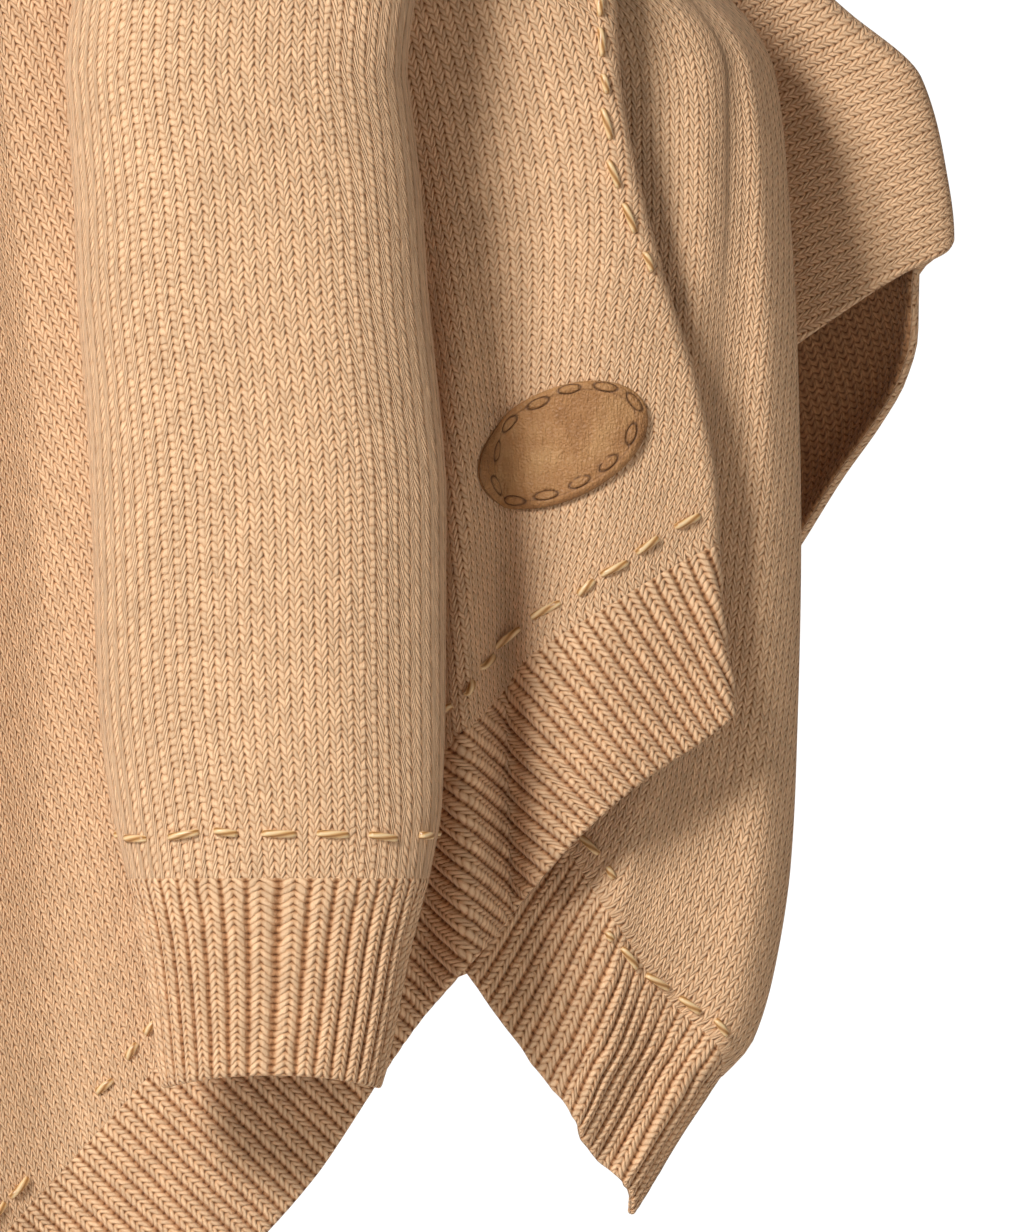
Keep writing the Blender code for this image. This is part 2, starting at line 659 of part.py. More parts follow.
def ring_normals(middle):
    """Normals of a grid whose columns close in a ring, away from each row's middle."""
    over = np.roll(middle, -1, axis=1) - np.roll(middle, 1, axis=1)
    down = np.gradient(middle, axis=0)
    normal = np.cross(over, down)
    normal /= np.linalg.norm(normal, axis=-1, keepdims=True)
    away = np.sum(normal * (middle - middle.mean(axis=1, keepdims=True)), axis=-1)
    return normal * (1.0 if away.mean() > 0 else -1.0)


def build_sleeves(collection, material, angle):
    along = np.concatenate([np.linspace(0, 1, 6)[:-1], np.linspace(1, 2, 4)])[:, None]
    middle = sleeve_surface(angle[None] + 0 * along, along + 0 * angle[None])
    normal = ring_normals(middle)
    points, faces = sheet(middle + normal * WALL / 2, middle - normal * WALL / 2, ring=True)
    make_object("sleeve_left", points, faces, material, collection)
    make_object("sleeve_right", mirrored(points), faces, material, collection)


def build_cuffs(collection, material):
    angle = np.linspace(0, 2 * math.pi, 2 * CUFF_RIBS, endpoint=False)[None]
    height = np.array([CUFF[0][0], CUFF[-1][0]])[:, None]
    middle = sleeve_ring(CUFF, angle + 0 * height, height + 0 * angle)
    points, faces = rib_wall(middle, ring_normals(middle), ring=True)
    make_object("cuff_left", points, faces, material, collection)
    make_object("cuff_right", mirrored(points), faces, material, collection)


def build_neckband(collection, material):
    """A ribbed ring that stands on the neck opening: the front panel's edge, then the back panel's."""
    across = NECK_REACH * np.sin(np.linspace(-math.pi / 2, math.pi / 2, 160))
    front = front_surface(across, front_top(across))
    back = back_surface(np.linspace(1, -1, 120), np.full(120, NECK_TOP))
    loop = np.concatenate([front[:-1], back[:-1]])
    length = measured_along(np.concatenate([loop, loop[:1]]))
    ribs = int(round(length[-1] / RIB_PITCH))
    at = np.linspace(0, length[-1], 2 * ribs, endpoint=False)
    closed = np.concatenate([loop, loop[:1]])
    loop = np.stack([np.interp(at, length, closed[:, c]) for c in range(3)], axis=1)
    middle = loop.mean(axis=0)
    out = loop - middle
    out[:, 2] = 0
    out /= np.linalg.norm(out, axis=1, keepdims=True)
    foot = loop - out * (WALL + NECK_INSET) + np.array([0, 0, SEAM])
    top = foot - out * 5 + np.array([0, 0, NECKBAND_HEIGHT])
    grid = np.stack([foot, top])
    points, faces = rib_wall(grid, np.stack([out, out]), ring=True)
    make_object("neckband", points, faces, material, collection)


def build_label(collection, material):
    """The oval leather label, made from the front panel's own points moved out."""
    reach, level, half_long, half_wide = LABEL
    angle = np.linspace(0, 2 * math.pi, 24, endpoint=False)[None]
    share = np.array([0.3, 0.7, 0.94, 1.0])[:, None]
    along, over = half_long * share * np.cos(angle), half_wide * share * np.sin(angle)
    across = reach + along * math.cos(LABEL_TILT) - over * math.sin(LABEL_TILT)
    height = level + along * math.sin(LABEL_TILT) + over * math.cos(LABEL_TILT)
    under = front_surface(across, height)
    normal = front_normal(across, height)
    foot = under + normal * (WALL / 2 + SEAM + LIFT_OFF / 2)
    thick = LABEL_THICKNESS * np.array([1.0, 1.0, 0.9, 0.55])[:, None, None]
    outer = foot + normal * thick
    rows, columns = outer.shape[:2]
    points = list(outer.reshape(-1, 3)) + list(foot.reshape(-1, 3))
    base = rows * columns
    faces = [list(range(columns)), [base + j for j in reversed(range(columns))]]
    for j in range(columns):
        k = (j + 1) % columns
        for i in range(rows - 1):
            a, b = i * columns, (i + 1) * columns
            faces.append([a + j, b + j, b + k, a + k])
            faces.append([base + a + k, base + b + k, base + b + j, base + a + j])
        last = (rows - 1) * columns
        faces.append([last + j, base + last + j, base + last + k, last + k])
    make_object("label", points, faces, material, collection)


def main():
    for old in list(bpy.data.objects):
        bpy.data.objects.remove(old, do_unlink=True)
    collection = bpy.data.collections.new("poncho")
    bpy.context.scene.collection.children.link(collection)
    knit = knit_material("camel_knit", CAMEL, 0.9)
    leather = knit_material("tan_leather", TAN_LEATHER, 0.55)
    armhole_angles = build_front(collection, knit)
    build_front_hem(collection, knit)
    build_back(collection, knit)
    build_back_hem(collection, knit)
    build_side(collection, knit)
    build_side_hem(collection, knit)
    build_sleeves(collection, knit, armhole_angles)
    build_cuffs(collection, knit)
    build_neckband(collection, knit)
    build_label(collection, leather)


main()
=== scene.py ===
"""Looks of the knitted poncho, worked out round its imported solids.

Each piece of cloth is a thin shell on the same folded form as its solid: a surface of two parameters,
with finer creases, moved half the cloth's thickness each way. Functions work in millimetres, in the
row's frame: the front faces -Y, +Z is up and the origin is at the base of the neck. Meshes are in
metres. A UV map counts wales across and courses down, so every stitch has its real size.
"""

import math

import bpy
import numpy as np
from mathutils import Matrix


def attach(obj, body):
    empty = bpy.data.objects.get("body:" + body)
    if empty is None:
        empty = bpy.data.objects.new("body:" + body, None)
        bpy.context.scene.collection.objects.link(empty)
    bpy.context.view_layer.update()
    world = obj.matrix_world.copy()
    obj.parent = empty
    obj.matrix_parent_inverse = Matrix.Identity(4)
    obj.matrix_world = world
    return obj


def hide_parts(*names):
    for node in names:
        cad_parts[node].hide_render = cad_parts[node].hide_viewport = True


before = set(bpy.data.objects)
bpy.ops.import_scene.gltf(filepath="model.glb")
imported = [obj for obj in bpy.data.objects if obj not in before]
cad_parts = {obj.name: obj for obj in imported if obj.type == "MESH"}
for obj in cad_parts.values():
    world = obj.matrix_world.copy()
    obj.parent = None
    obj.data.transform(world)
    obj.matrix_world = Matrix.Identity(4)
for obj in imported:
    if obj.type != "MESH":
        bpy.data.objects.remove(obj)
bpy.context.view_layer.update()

WALL = 3.0  # thickness of the knitted cloth
WALE = 4.2  # width of one column of stitches
SLEEVE_WALE = 4.8  # the same on the sleeves, which are knitted looser
COURSE = 3.15  # height of one row of stitches
BAND_COURSE = 2.8  # the same on the ribbed bands
RIB_PITCH = 6.5  # from one rib of the hems and cuffs to the next
RIB_RISE = 1.0  # how far a rib stands above the middle of the wall's face, and its valley lies below
RIB_SAMPLES = 8  # columns of points for each rib
RIB_START = 17.0  # the ribs grow to their full depth over this length
BAND_TUCK = 2.6  # a band starts this far inside the panel that it is knitted onto
RIM_STITCHES = 0.8  # wales and courses that the pattern goes on over the cloth's edge
ROUND_EDGE = 1.6  # a free edge of the cloth rounds off over this length
EDGE_ROLL = 5.0  # radius of the front panel's rolled edge
MOST_TURN = 2.7  # its largest angle in radians, past which the cloth runs straight back
SHOULDER_GAP = 0.6  # the back panel's middle surface starts this far behind the ridge
SIDE_GAP = 0.8  # and the side panel's this far in front of the back panel's
SEAM_LIFT = 2.9  # the sleeve's middle surface starts this far off the front panel's
NECK_REACH = 90.0  # half the width of the neck opening
NECK_TOP = -4.0  # its height at both ends
NECK_DROP = 62.0  # how far it dips in front
SEAM_START = -100.0  # the side panel is sewn to the back panel from this height
SEAM_END = -322.0  # down to this one, where the open slit starts

# The photograph's size and scale, one of its pixels, and the reach and height which that pixel shows.
PHOTO_WIDE, PHOTO_HIGH = 1024, 1232
PIXELS_PER_MM = 2.6
PIXEL_ACROSS, PIXEL_DOWN = 275, 1085
PIXEL_REACH, PIXEL_HEIGHT = 200.0, -650.0
CAMERA_AWAY = 12000.0
CAMERA_PLANE = -115.0  # depth at which that scale holds

# Reach and height of the ridge, from the neck over the shoulder and along the wing.
RIDGE = (
    (0, 30), (45, 21), (90, -4), (140, -22), (200, -45), (235, -72), (268, -100),
    (325, -150), (380, -200), (420, -235), (449, -261), (458, -294), (461.5, -322),
)
# Height and reach of the back panel's free edge below that.
BACK_EDGE = (
    (-322, 461.5), (-336, 447), (-360, 446.5), (-377, 442), (-393, 433), (-415, 417.5),
    (-440, 402), (-480, 376), (-520, 350), (-560, 322), (-640, 276), (-800, 190), (-900, 150),
)
# Reach from the centre, then how far the front and the back hang out from the ridge.
DEPTH = ((0, 116, 118), (200, 111, 114), (300, 106, 96), (380, 100, 70), (470, 92, 36))
# Reach, then the drop over which the cloth rounds off from the ridge.
ROUNDING = ((0, 170), (90, 150), (200, 100), (330, 150), (470, 190))
# Height and reach of the front panel's turned edge, then height and length of the cloth turned back.
FRONT_EDGE = (
    (-140, 324), (-200, 329), (-263, 332), (-302, 339), (-340, 349), (-386, 363),
    (-425, 369.6), (-463, 370.4), (-507, 376.5), (-560, 384),
)
FRONT_TURN = ((-140, 2), (-261, 3), (-330, 8), (-400, 14), (-436, 17.6))
# Folds: reach at the top and foot, height of the top and foot, half width, rise towards the viewer.
FRONT_FOLDS = (
    (40, 70, -150, -800, 26, 9), (95, 118, -210, -700, 20, -7), (150, 176, -300, -700, 22, 4),
    (244, 258, -230, -620, 13, -8), (270, 273, -330, -560, 8, 6), (287, 292, -424, -620, 9, -11),
    (322, 334, -230, -560, 24, 6), (268, 272, -240, -640, 7, 3.5), (285, 291, -330, -600, 10, -8),
)
# Reach and height of the front band's ribs where they start, and where they end.
FRONT_HEM = (
    (0, -772, 0, -846), (36, -758, 58, -826), (72, -733, 112, -790), (106, -697, 158, -746),
    (140, -661, 192, -712), (164, -634, 215, -686), (209, -586, 254, -628), (240, -551, 286, -591),
    (272, -517, 316, -556), (302, -484, 342, -533), (331, -465, 366, -517), (352, -452, 380, -506),
    (370, -443, 391, -499), (387.6, -436, 402, -493),
)
BACK_FOLDS = (
    (0, 0, -260, -800, 30, 9), (70, 84, -180, -720, 24, -9), (150, 168, -150, -640, 28, 10),
    (225, 238, -200, -600, 22, -10), (300, 306, -200, -520, 26, 7),
)
# The line where the back panel's hem starts: share of the reach, height.
BACK_FOOT = ((0, -675), (0.3, -612), (0.5, -570), (0.7, -534), (0.85, -508), (1, -488))
BACK_LEAN = ((0, 0), (0.3, 30), (0.7, 30), (1, 18))  # how far its ribs lean outwards, in degrees
BACK_BAND = 66.0
WALK_STEPS = 6  # down a band whose ribs lean
# The side panel's plan at a height: how far its folds are closed, the reaches of its front edge,
# ridge, trough and outer fold, the outer fold's radius, the inner fold's reach and radius, the gap
# behind the front panel, and how far the folds spread in depth.
SIDE_PLAN = (
    (-100, 0.0, 226, 240, 250, 256, 5, 246, 6, 12, 3),
    (-150, 0.25, 232, 282, 292, 300, 6, 268, 8, 15, 22),
    (-205, 0.75, 238, 330, 341, 354, 8, 268, 10, 18, 55),
    (-261, 1.0, 242, 364, 374, 392, 9, 270, 12, 20, 78),
    (-310, 1.0, 244, 363, 375, 397, 10, 270, 13, 20, 80),
    (-365, 1.0, 245, 360, 374, 400, 11, 270, 13, 20, 80),
    (-440, 1.0, 245, 352, 370, 401.5, 12, 270, 13, 20, 80),
    (-530, 1.0, 245, 343, 364, 399.5, 12, 268, 13, 20, 80),
    (-565, 1.0, 245, 335, 360, 397.5, 12, 266, 12, 18, 80),
    (-602, 1.0, 244, 328, 353, 392, 12, 264, 12, 16, 76),
    (-633, 1.0, 243, 327, 350, 383, 11, 262, 12, 16, 72),
    (-653, 1.0, 240, 320, 341, 365.5, 9, 258, 12, 16, 68),
    (-700, 1.0, 236, 300, 316, 338, 9, 250, 12, 16, 64),
    (-760, 1.0, 230, 284, 298, 318, 9, 240, 12, 16, 60),
)
# Share of that spread at each plan key, from the wing's tip to the front edge.
SIDE_SPREAD = (0, 0, 1.0, 0.94, 0.78, 0.62, 0.56, 0.46, 0.30, 0.13, 0.12, 0.0, 0.03, 0.06)
# Creases of the side panel: plan key, half width in keys, rise towards the viewer, height of its top,
# of its full depth, and of its end.
SIDE_CREASES = (
    (11.0, 0.24, 2.8, -490, -560, -760), (11.75, 0.36, -5.5, -500, -570, -760),
    (11.0, 0.20, 2.2, -160, -260, -500), (10.0, 0.55, 5.0, -150, -260, -640),
    (9.1, 0.45, 2.5, -150, -260, -640),
    (1.85, 0.42, -13.0, -130, -230, -520), (5.6, 0.5, -2.5, -150, -220, -500),
)
# Plan key, then the height of the side panel's foot, where its band starts.
SIDE_FOOT = (
    (0, -322), (0.5, -327), (1, -334), (2, -391), (3, -462), (4, -474), (5, -488), (6, -552),
    (6.75, -632), (7, -636), (8, -648), (9, -637), (10, -619), (11, -588), (12, -537), (13, -497),
)
SIDE_HEM_KEY = 6.75  # the side band starts here, inside the folds
# How far its band's ribs lean towards the front edge as they go down: plan key, degrees.
SIDE_LEAN = ((6.75, 6), (8, 16), (9.5, 28), (10.6, 22), (11.4, 32), (12.2, 40), (13, 42))
SIDE_BAND = 64.0
INNER_TURN_KEY = 4.0  # the deep fold in which the side panel's wales change direction
# Height of a ring of the sleeve or cuff, its left and right reach, and half its depth.
SLEEVE = (
    (-262, 121, 249, 29), (-310, 124.5, 254.5, 29), (-348, 126, 257, 28.5), (-386, 129, 261, 28),
    (-425, 131, 264, 28), (-502, 134, 264, 27.5), (-540, 138.5, 263, 27), (-571, 145.5, 257.8, 26.5),
)
CUFF = (
    (-571, 145.5, 257.8, 26.5), (-594, 151.5, 250.8, 25.5), (-617, 155, 246, 24),
    (-648, 158.5, 239.5, 22),
)
SLEEVE_MIDDLE = -156.0  # depth of the hanging sleeve's middle
SLEEVE_SQUARE = 2.3  # power of its superellipse
ARMHOLE = (203.0, -142.0, 58.0, 76.0)  # reach and height of its middle, half width, half height
CUFF_RIBS = 36
LABEL = (309.6, -403.8, 35.6, 21.2)  # the same of the patch
LABEL_TILT = math.radians(26.6)
LABEL_THICKNESS = 2.7
NECKBAND_HEIGHT = 24.0
NECK_INSET = 4.4  # the neckband stands this far inside the panels' edge, past the cloth's thickness

SLOT_HALF_LENGTH = 4.2  # of the pressed oval round a stitch slot
SLOT_HALF_WIDTH = 1.75
STITCH_RADIUS = 1.5
STITCH_ROWS = 15  # rings of points along a stitch
STITCH_SIDES = 12  # and points in a ring
STITCH_LENGTH = 12.0  # where the photograph doesn't show them
STITCH_PITCH = 15.5
HEM_LINE_ABOVE = 13.0  # the running stitches lie this far above the start of the ribs
EDGE_LINE_IN = 9.0  # and this far in from the front panel's turned edge
CUFF_LINE = -553.0  # and at this height round the sleeve
# Lean of the wales from vertical in degrees, outwards as they go down.
FRONT_WALES, BACK_WALES, SIDE_WALES, WING_WALES = 27.0, 27.0, 20.0, 70.0
FLOOR_LEVEL = -1.4  # places of the studio are in metres
SKY_LIGHT = 0.13
LIGHT_AIM = (0.28, -0.1, -0.45)
# Name, place, aim, size, watts and colour of each lamp.
LAMPS = (
    ("key", (-1.62, -2.85, 1.42), LIGHT_AIM, 1.2, 130.0, "#FFF9F2"),
    ("fill", (2.6, -2.4, 0.2), LIGHT_AIM, 1.6, 4.0, "#FFE9D2"),
    ("rear", (-0.8, 2.8, 1.2), (0, 0, -0.4), 1.6, 30.0, "#FFFFFF"),
)
# Colours by the yarn's height: the dark low stops are painted shade in the gaps, holes and rib valleys.
WOOL_FACE = ((0.02, "#572F15"), (0.24, "#A26F47"), (0.52, "#DDAE84"), (1.0, "#F7D4AE"))
WOOL_PURL = ((0.02, "#572F15"), (0.30, "#A0704A"), (1.0, "#D3A276"))
WOOL_RIB = ((0.0, "#572F15"), (0.26, "#A26F47"), (0.54, "#DDAE84"), (1.0, "#F7D4AE"))

# Ends of the running stitches, and the middles of the patch's slots, in the photograph's pixels.
HEM_STITCHES = (
    (97, 1093, 114, 1080), (127, 1059, 138, 1043), (145, 1034, 158, 1020), (440, 718, 455, 705),
    (463, 695, 470, 680), (477, 668, 490, 656), (497, 648, 522, 628), (532, 618, 562, 602),
    (578, 595, 595, 580), (600, 575, 628, 562), (635, 553, 658, 537), (674, 527, 700, 515),
)
EDGE_STITCHES = (
    (602, 74, 606, 94), (602, 108, 610, 140), (608, 160, 618, 188), (623, 203, 634, 233),
    (643, 252, 650, 272),
)
CUFF_STITCHES = (
    (128, 837, 150, 838), (170, 836, 202, 831), (216, 829, 240, 833), (263, 832, 298, 833),
    (317, 832, 350, 834), (368, 833, 398, 838), (417, 834, 432, 835),
)
SIDE_STITCHES = (
    (581, 836, 600, 855), (609, 867, 615, 880), (607, 932, 612, 942), (620, 948, 635, 970),
    (645, 975, 668, 990), (680, 998, 701, 1014), (715, 1020, 727, 1037),
)
SLOTS = (
    (571, 389), (605, 387), (632, 402), (629, 434), (608, 463), (581, 482), (549, 495), (520, 500),
    (489, 485), (491, 450), (513, 423), (541, 403),
)


def smooth(rows, at, column=1):
    """Reads a column of a table at any value of its first, as a cubic curve that never overshoots."""
    xs = np.array([row[0] for row in rows], float)
    ys = np.array([row[column] for row in rows], float)
    if xs[0] > xs[-1]:
        xs, ys = xs[::-1], ys[::-1]
    secant = np.diff(ys) / np.diff(xs)
    both = secant[:-1] * secant[1:]
    total = np.where(both > 0, secant[:-1] + secant[1:], 1.0)
    slope = np.concatenate([secant[:1], np.where(both > 0, 2 * both / total, 0.0), secant[-1:]])
    at = np.asarray(at, float)
    i = np.clip(np.searchsorted(xs, at) - 1, 0, len(xs) - 2)
    step = xs[i + 1] - xs[i]
    t = np.clip((at - xs[i]) / step, 0.0, 1.0)
    start = (1 + 2 * t) * (1 - t) ** 2 * ys[i] + t * (1 - t) ** 2 * step * slope[i]
    end = t * t * (3 - 2 * t) * ys[i + 1] + t * t * (t - 1) * step * slope[i + 1]
    return start + end


def ease(value):
    """0 below 0, 1 above 1, and 3t^2 - 2t^3 between."""
    value = np.clip(value, 0.0, 1.0)
    return value * value * (3 - 2 * value)


def ridge_reach(height):
    """Reach of the ridge at a height below the neck, then of the back panel's free edge."""
    ridge = [(z, x) for x, z in RIDGE if x >= NECK_REACH]
    return smooth(ridge + list(BACK_EDGE[1:]), height)


def ridge_depth(height):
    """Depth of the ridge, which falls back a little towards the wing's tip."""
    rows = ((-4, 0), (-45, 2), (-100, 6), (-150, 10), (-261, 18), (-322, 22), (-560, 60))
    return smooth(rows, height)


def overlap_lift(reach):
    """How far the front panel is lifted over the side panel's top."""
    return 9.0 * ease((np.abs(reach) - 215) / 45)


def worn_depth(reach, height, column, lift=0.0):
    """Depth of the front or back: a quarter ellipse down from the ridge, then straight down."""
    reach = np.abs(reach)
    share = np.clip((smooth(RIDGE, reach) + lift - height) / smooth(ROUNDING, reach), 0.0, 1.0)
    return smooth(DEPTH, reach, column) * np.sqrt(1 - (1 - share) ** 2)


def fold_rise(folds, reach, height):
    """The sum of soft ridges and troughs: each is exp(-across^2) and grows from nothing at its top."""
    reach = np.abs(reach)
    total = 0.0
    for top_reach, foot_reach, top, foot, half_width, rise in folds:
        down = np.clip((top - height) / (top - foot), 0.0, 1.0)
        across = (reach - top_reach - (foot_reach - top_reach) * down) / half_width
        total = total + rise * ease(down * 2.5) * np.exp(-across * across)
    return total


def front_surface(across, height):
    """The front panel: depth as a function over reach and height, whose free edges roll back in an arc."""
    reach = np.abs(across)
    start = smooth(FRONT_EDGE, height) - EDGE_ROLL
    turn = np.clip((reach - start) / EDGE_ROLL, 0.0, MOST_TURN)
    past = np.maximum(reach - start - EDGE_ROLL * MOST_TURN, 0.0)
    rolled = start + EDGE_ROLL * np.sin(turn) + past * math.cos(MOST_TURN)
    x = np.where(reach < start, reach, rolled)
    back = EDGE_ROLL * (1 - np.cos(turn)) + past * math.sin(MOST_TURN)
    flat = np.minimum(reach, start + EDGE_ROLL)
    y = back - worn_depth(flat, height, 1, overlap_lift(flat)) - fold_rise(FRONT_FOLDS, flat, height)
    return np.stack([np.sign(across) * x, y, height + 0 * x], axis=-1)


def through(keys, at, first=None, last=None):
    """A Catmull-Rom curve through keys (a list of (x, y) arrays) at positions counted in keys."""
    count = len(keys)
    first = first or [2 * keys[0][c] - keys[1][c] for c in (0, 1)]
    last = last or [2 * keys[-1][c] - keys[-2][c] for c in (0, 1)]
    stack = np.array([first] + [list(k) for k in keys] + [last])
    i = np.clip(np.floor(at).astype(int), 0, count - 2)
    t = at - i

    def pick(c, offset):
        return np.take_along_axis(stack[:, c], (i + offset)[None], axis=0)[0]

    out = []
    for c in (0, 1):
        a, b, d, e = (pick(c, n) for n in range(4))
        bend = 2 * a - 5 * b + 4 * d - e
        out.append(b + 0.5 * t * (d - a + t * (bend + t * (3 * b - 3 * d + e - a))))
    return out


def back_surface(across, height):
    """The back panel: at each height a curve through keys from the centre, at 0, to its turned edge, at 1.

    Below 0 it is the mirror image.
    """
    share = np.abs(across)
    edge = ridge_reach(height)
    roll = 2 + 10 * ease((-30 - height) / 120)
    depth = ridge_depth(height) + SHOULDER_GAP
    keys = []
    for fraction in (0.0, 0.22, 0.44, 0.64, 0.83):
        x = fraction * edge
        y = worn_depth(x, height, 2) + fold_rise(BACK_FOLDS, x, height)
        keys.append((x, y + SHOULDER_GAP))
    keys.append((edge - roll, np.maximum(worn_depth(edge - roll, height, 2), depth + roll)))
    keys.append((edge, depth))
    keys.insert(0, (-keys[1][0], keys[1][1]))
    beyond = [keys[-2][0], 2 * depth - keys[-2][1]]
    x, y = through(keys, 1 + share * (len(keys) - 2), last=beyond)
    return np.stack([np.sign(across) * x, y, height + 0 * x], axis=-1)


def side_surface(along, height):
    """The left side panel: a curve through 14 keys from the wing's tip through its folds to the front."""
    along = along + 0.0 * height
    height = height + 0.0 * along
    plan = [smooth(SIDE_PLAN, height, column) for column in range(1, len(SIDE_PLAN[0]))]
    closed, front, ridge, trough, outer, outer_r, inner, inner_r, gap, spread = plan
    closed = ease(closed)
    tip = ridge_reach(np.maximum(height, SEAM_END))
    folded = [
        tip, tip - 13, 0.5 * (tip + inner), inner + inner_r, inner, inner + inner_r,
        0.5 * (inner + outer), outer - outer_r, outer, outer - outer_r,
        trough, ridge, 0.5 * (ridge + front), front,
    ]
    keys = []
    for index, x in enumerate(folded):
        plain = tip + (front - tip) * index / (len(folded) - 1)
        x = plain + (x - plain) * closed
        keys.append([x, gap - worn_depth(x, height, 1) + spread * SIDE_SPREAD[index]])
    keys[0][1] = ridge_depth(height) + SHOULDER_GAP - SIDE_GAP
    keys[1][1] = np.minimum(keys[0][1] - 3 - 9 * closed, keys[2][1] + 12 * closed)
    before = [keys[1][0], 2 * keys[0][1] - keys[1][1]]
    x, y = through(keys, along, first=before)
    for key, half_width, rise, top, full, end in SIDE_CREASES:
        grown = ease((top - height) / (top - full)) * ease((height - end) / 60)
        y = y - rise * grown * np.exp(-(((along - key) / half_width) ** 2))
    return np.stack([x, y, height], axis=-1)


def sleeve_ring(table, angle, height):
    """The hanging sleeve's section: a superellipse, |x/a|^n + |y/b|^n = 1 with n SLEEVE_SQUARE."""
    left, right, depth = (smooth(table, height, column) for column in (1, 2, 3))
    power = 2 / SLEEVE_SQUARE
    across = np.sign(np.cos(angle)) * np.abs(np.cos(angle)) ** power
    forward = np.sign(np.sin(angle)) * np.abs(np.sin(angle)) ** power
    x = (left + right) / 2 + (right - left) / 2 * across
    return np.stack([x, SLEEVE_MIDDLE - depth * forward, height + 0 * x], axis=-1)


def sleeve_surface(angle, along):
    """The sleeve: from 0 to 1 a Hermite curve out of the armhole and over, from 1 to 2 straight down."""
    reach, level, half_wide, half_high = ARMHOLE
    across = reach + half_wide * np.cos(angle)
    height = level + half_high * np.sin(angle)
    out = front_normal(across, height)
    start = front_surface(across, height) + out * SEAM_LIFT
    end = sleeve_ring(SLEEVE, angle, SLEEVE[0][0] + 0 * angle)
    pull = 0.9 * np.linalg.norm(end - start, axis=-1, keepdims=True)
    t = np.clip(along, 0, 1)[..., None]
    curve = (1 + 2 * t) * (1 - t) ** 2 * start + t * (1 - t) ** 2 * pull * out
    fall = np.array([0.0, 0.0, -1.0]) * pull
    curve = curve + t * t * (3 - 2 * t) * end + t * t * (t - 1) * fall
    hang = SLEEVE[0][0] + (SLEEVE[-1][0] - SLEEVE[0][0]) * np.clip(along - 1, 0, 1)
    return np.where(along[..., None] <= 1, curve, sleeve_ring(SLEEVE, angle, hang))


def normals(surface, across, height, step, side=1.0):
    """Unit normals by central differences, on the side where the cloth's face is."""
    over = surface(across + step, height) - surface(across - step, height)
    down = surface(across, height + 0.5) - surface(across, height - 0.5)
    normal = side * np.cross(over, down)
    return normal / np.linalg.norm(normal, axis=-1, keepdims=True)


def front_normal(across, height):
    """The front panel's normal, towards the viewer."""
    return normals(front_surface, across, height, 0.5)


def back_normal(across, height):
    """The back panel's normal, away from the wearer."""
    return normals(back_surface, np.clip(across, -0.998, 0.998), height, 0.002, -1.0)


def side_normal(along, height):
    """The side panel's normal, on its knitted face."""
    return normals(side_surface, np.clip(along, 0.03, 12.97), height, 0.02, -1.0)


def ring_normals(middle):
    """Normals of a grid whose columns close in a ring, away from each row's middle."""
    over = np.roll(middle, -1, axis=1) - np.roll(middle, 1, axis=1)
    normal = np.cross(over, np.gradient(middle, axis=0))
    normal /= np.linalg.norm(normal, axis=-1, keepdims=True)
    away = np.sum(normal * (middle - middle.mean(axis=1, keepdims=True)), axis=-1)
    return normal * (1.0 if away.mean() > 0 else -1.0)


def lengths(points, axis):
    """Distance walked along one axis of a grid of points, from its start."""
    steps = np.linalg.norm(np.diff(points, axis=axis), axis=-1)
    start = np.zeros_like(np.take(steps, [0], axis=axis))
    return np.concatenate([start, np.cumsum(steps, axis=axis)], axis=axis)


def srgb(code, alpha=1.0):
    """An sRGB hex colour as linear light."""
    values = [int(code[i : i + 2], 16) / 255 for i in (1, 3, 5)]
    return tuple(v / 12.92 if v <= 0.04045 else ((v + 0.055) / 1.055) ** 2.4 for v in values) + (alpha,)


def add(tree, kind, inputs=(), **settings):
    """Adds one node: its settings, then each input as a link from a node or socket, or as a value."""
    made = tree.nodes.new(kind)
    for name, value in settings.items():
        setattr(made, name, value)
    for key, value in dict(inputs).items():
        if isinstance(value, bpy.types.Node):
            value = value.outputs[0]
        if isinstance(value, bpy.types.NodeSocket):
            tree.links.new(value, made.inputs[key])
        else:
            made.inputs[key].default_value = value
    return made


def new_material(name):
    """A material with an empty node tree."""
    material = bpy.data.materials.new(name)
    material.use_nodes = True
    material.node_tree.nodes.clear()
    return material


def paint_ramp(ramp, stops):
    """Sets a colour ramp's stops: position, sRGB colour."""
    elements = ramp.color_ramp.elements
    while len(elements) > 1:
        elements.remove(elements[-1])
    elements[0].position, elements[0].color = stops[0][0], srgb(stops[0][1])
    for position, code in stops[1:]:
        elements.new(position).color = srgb(code)


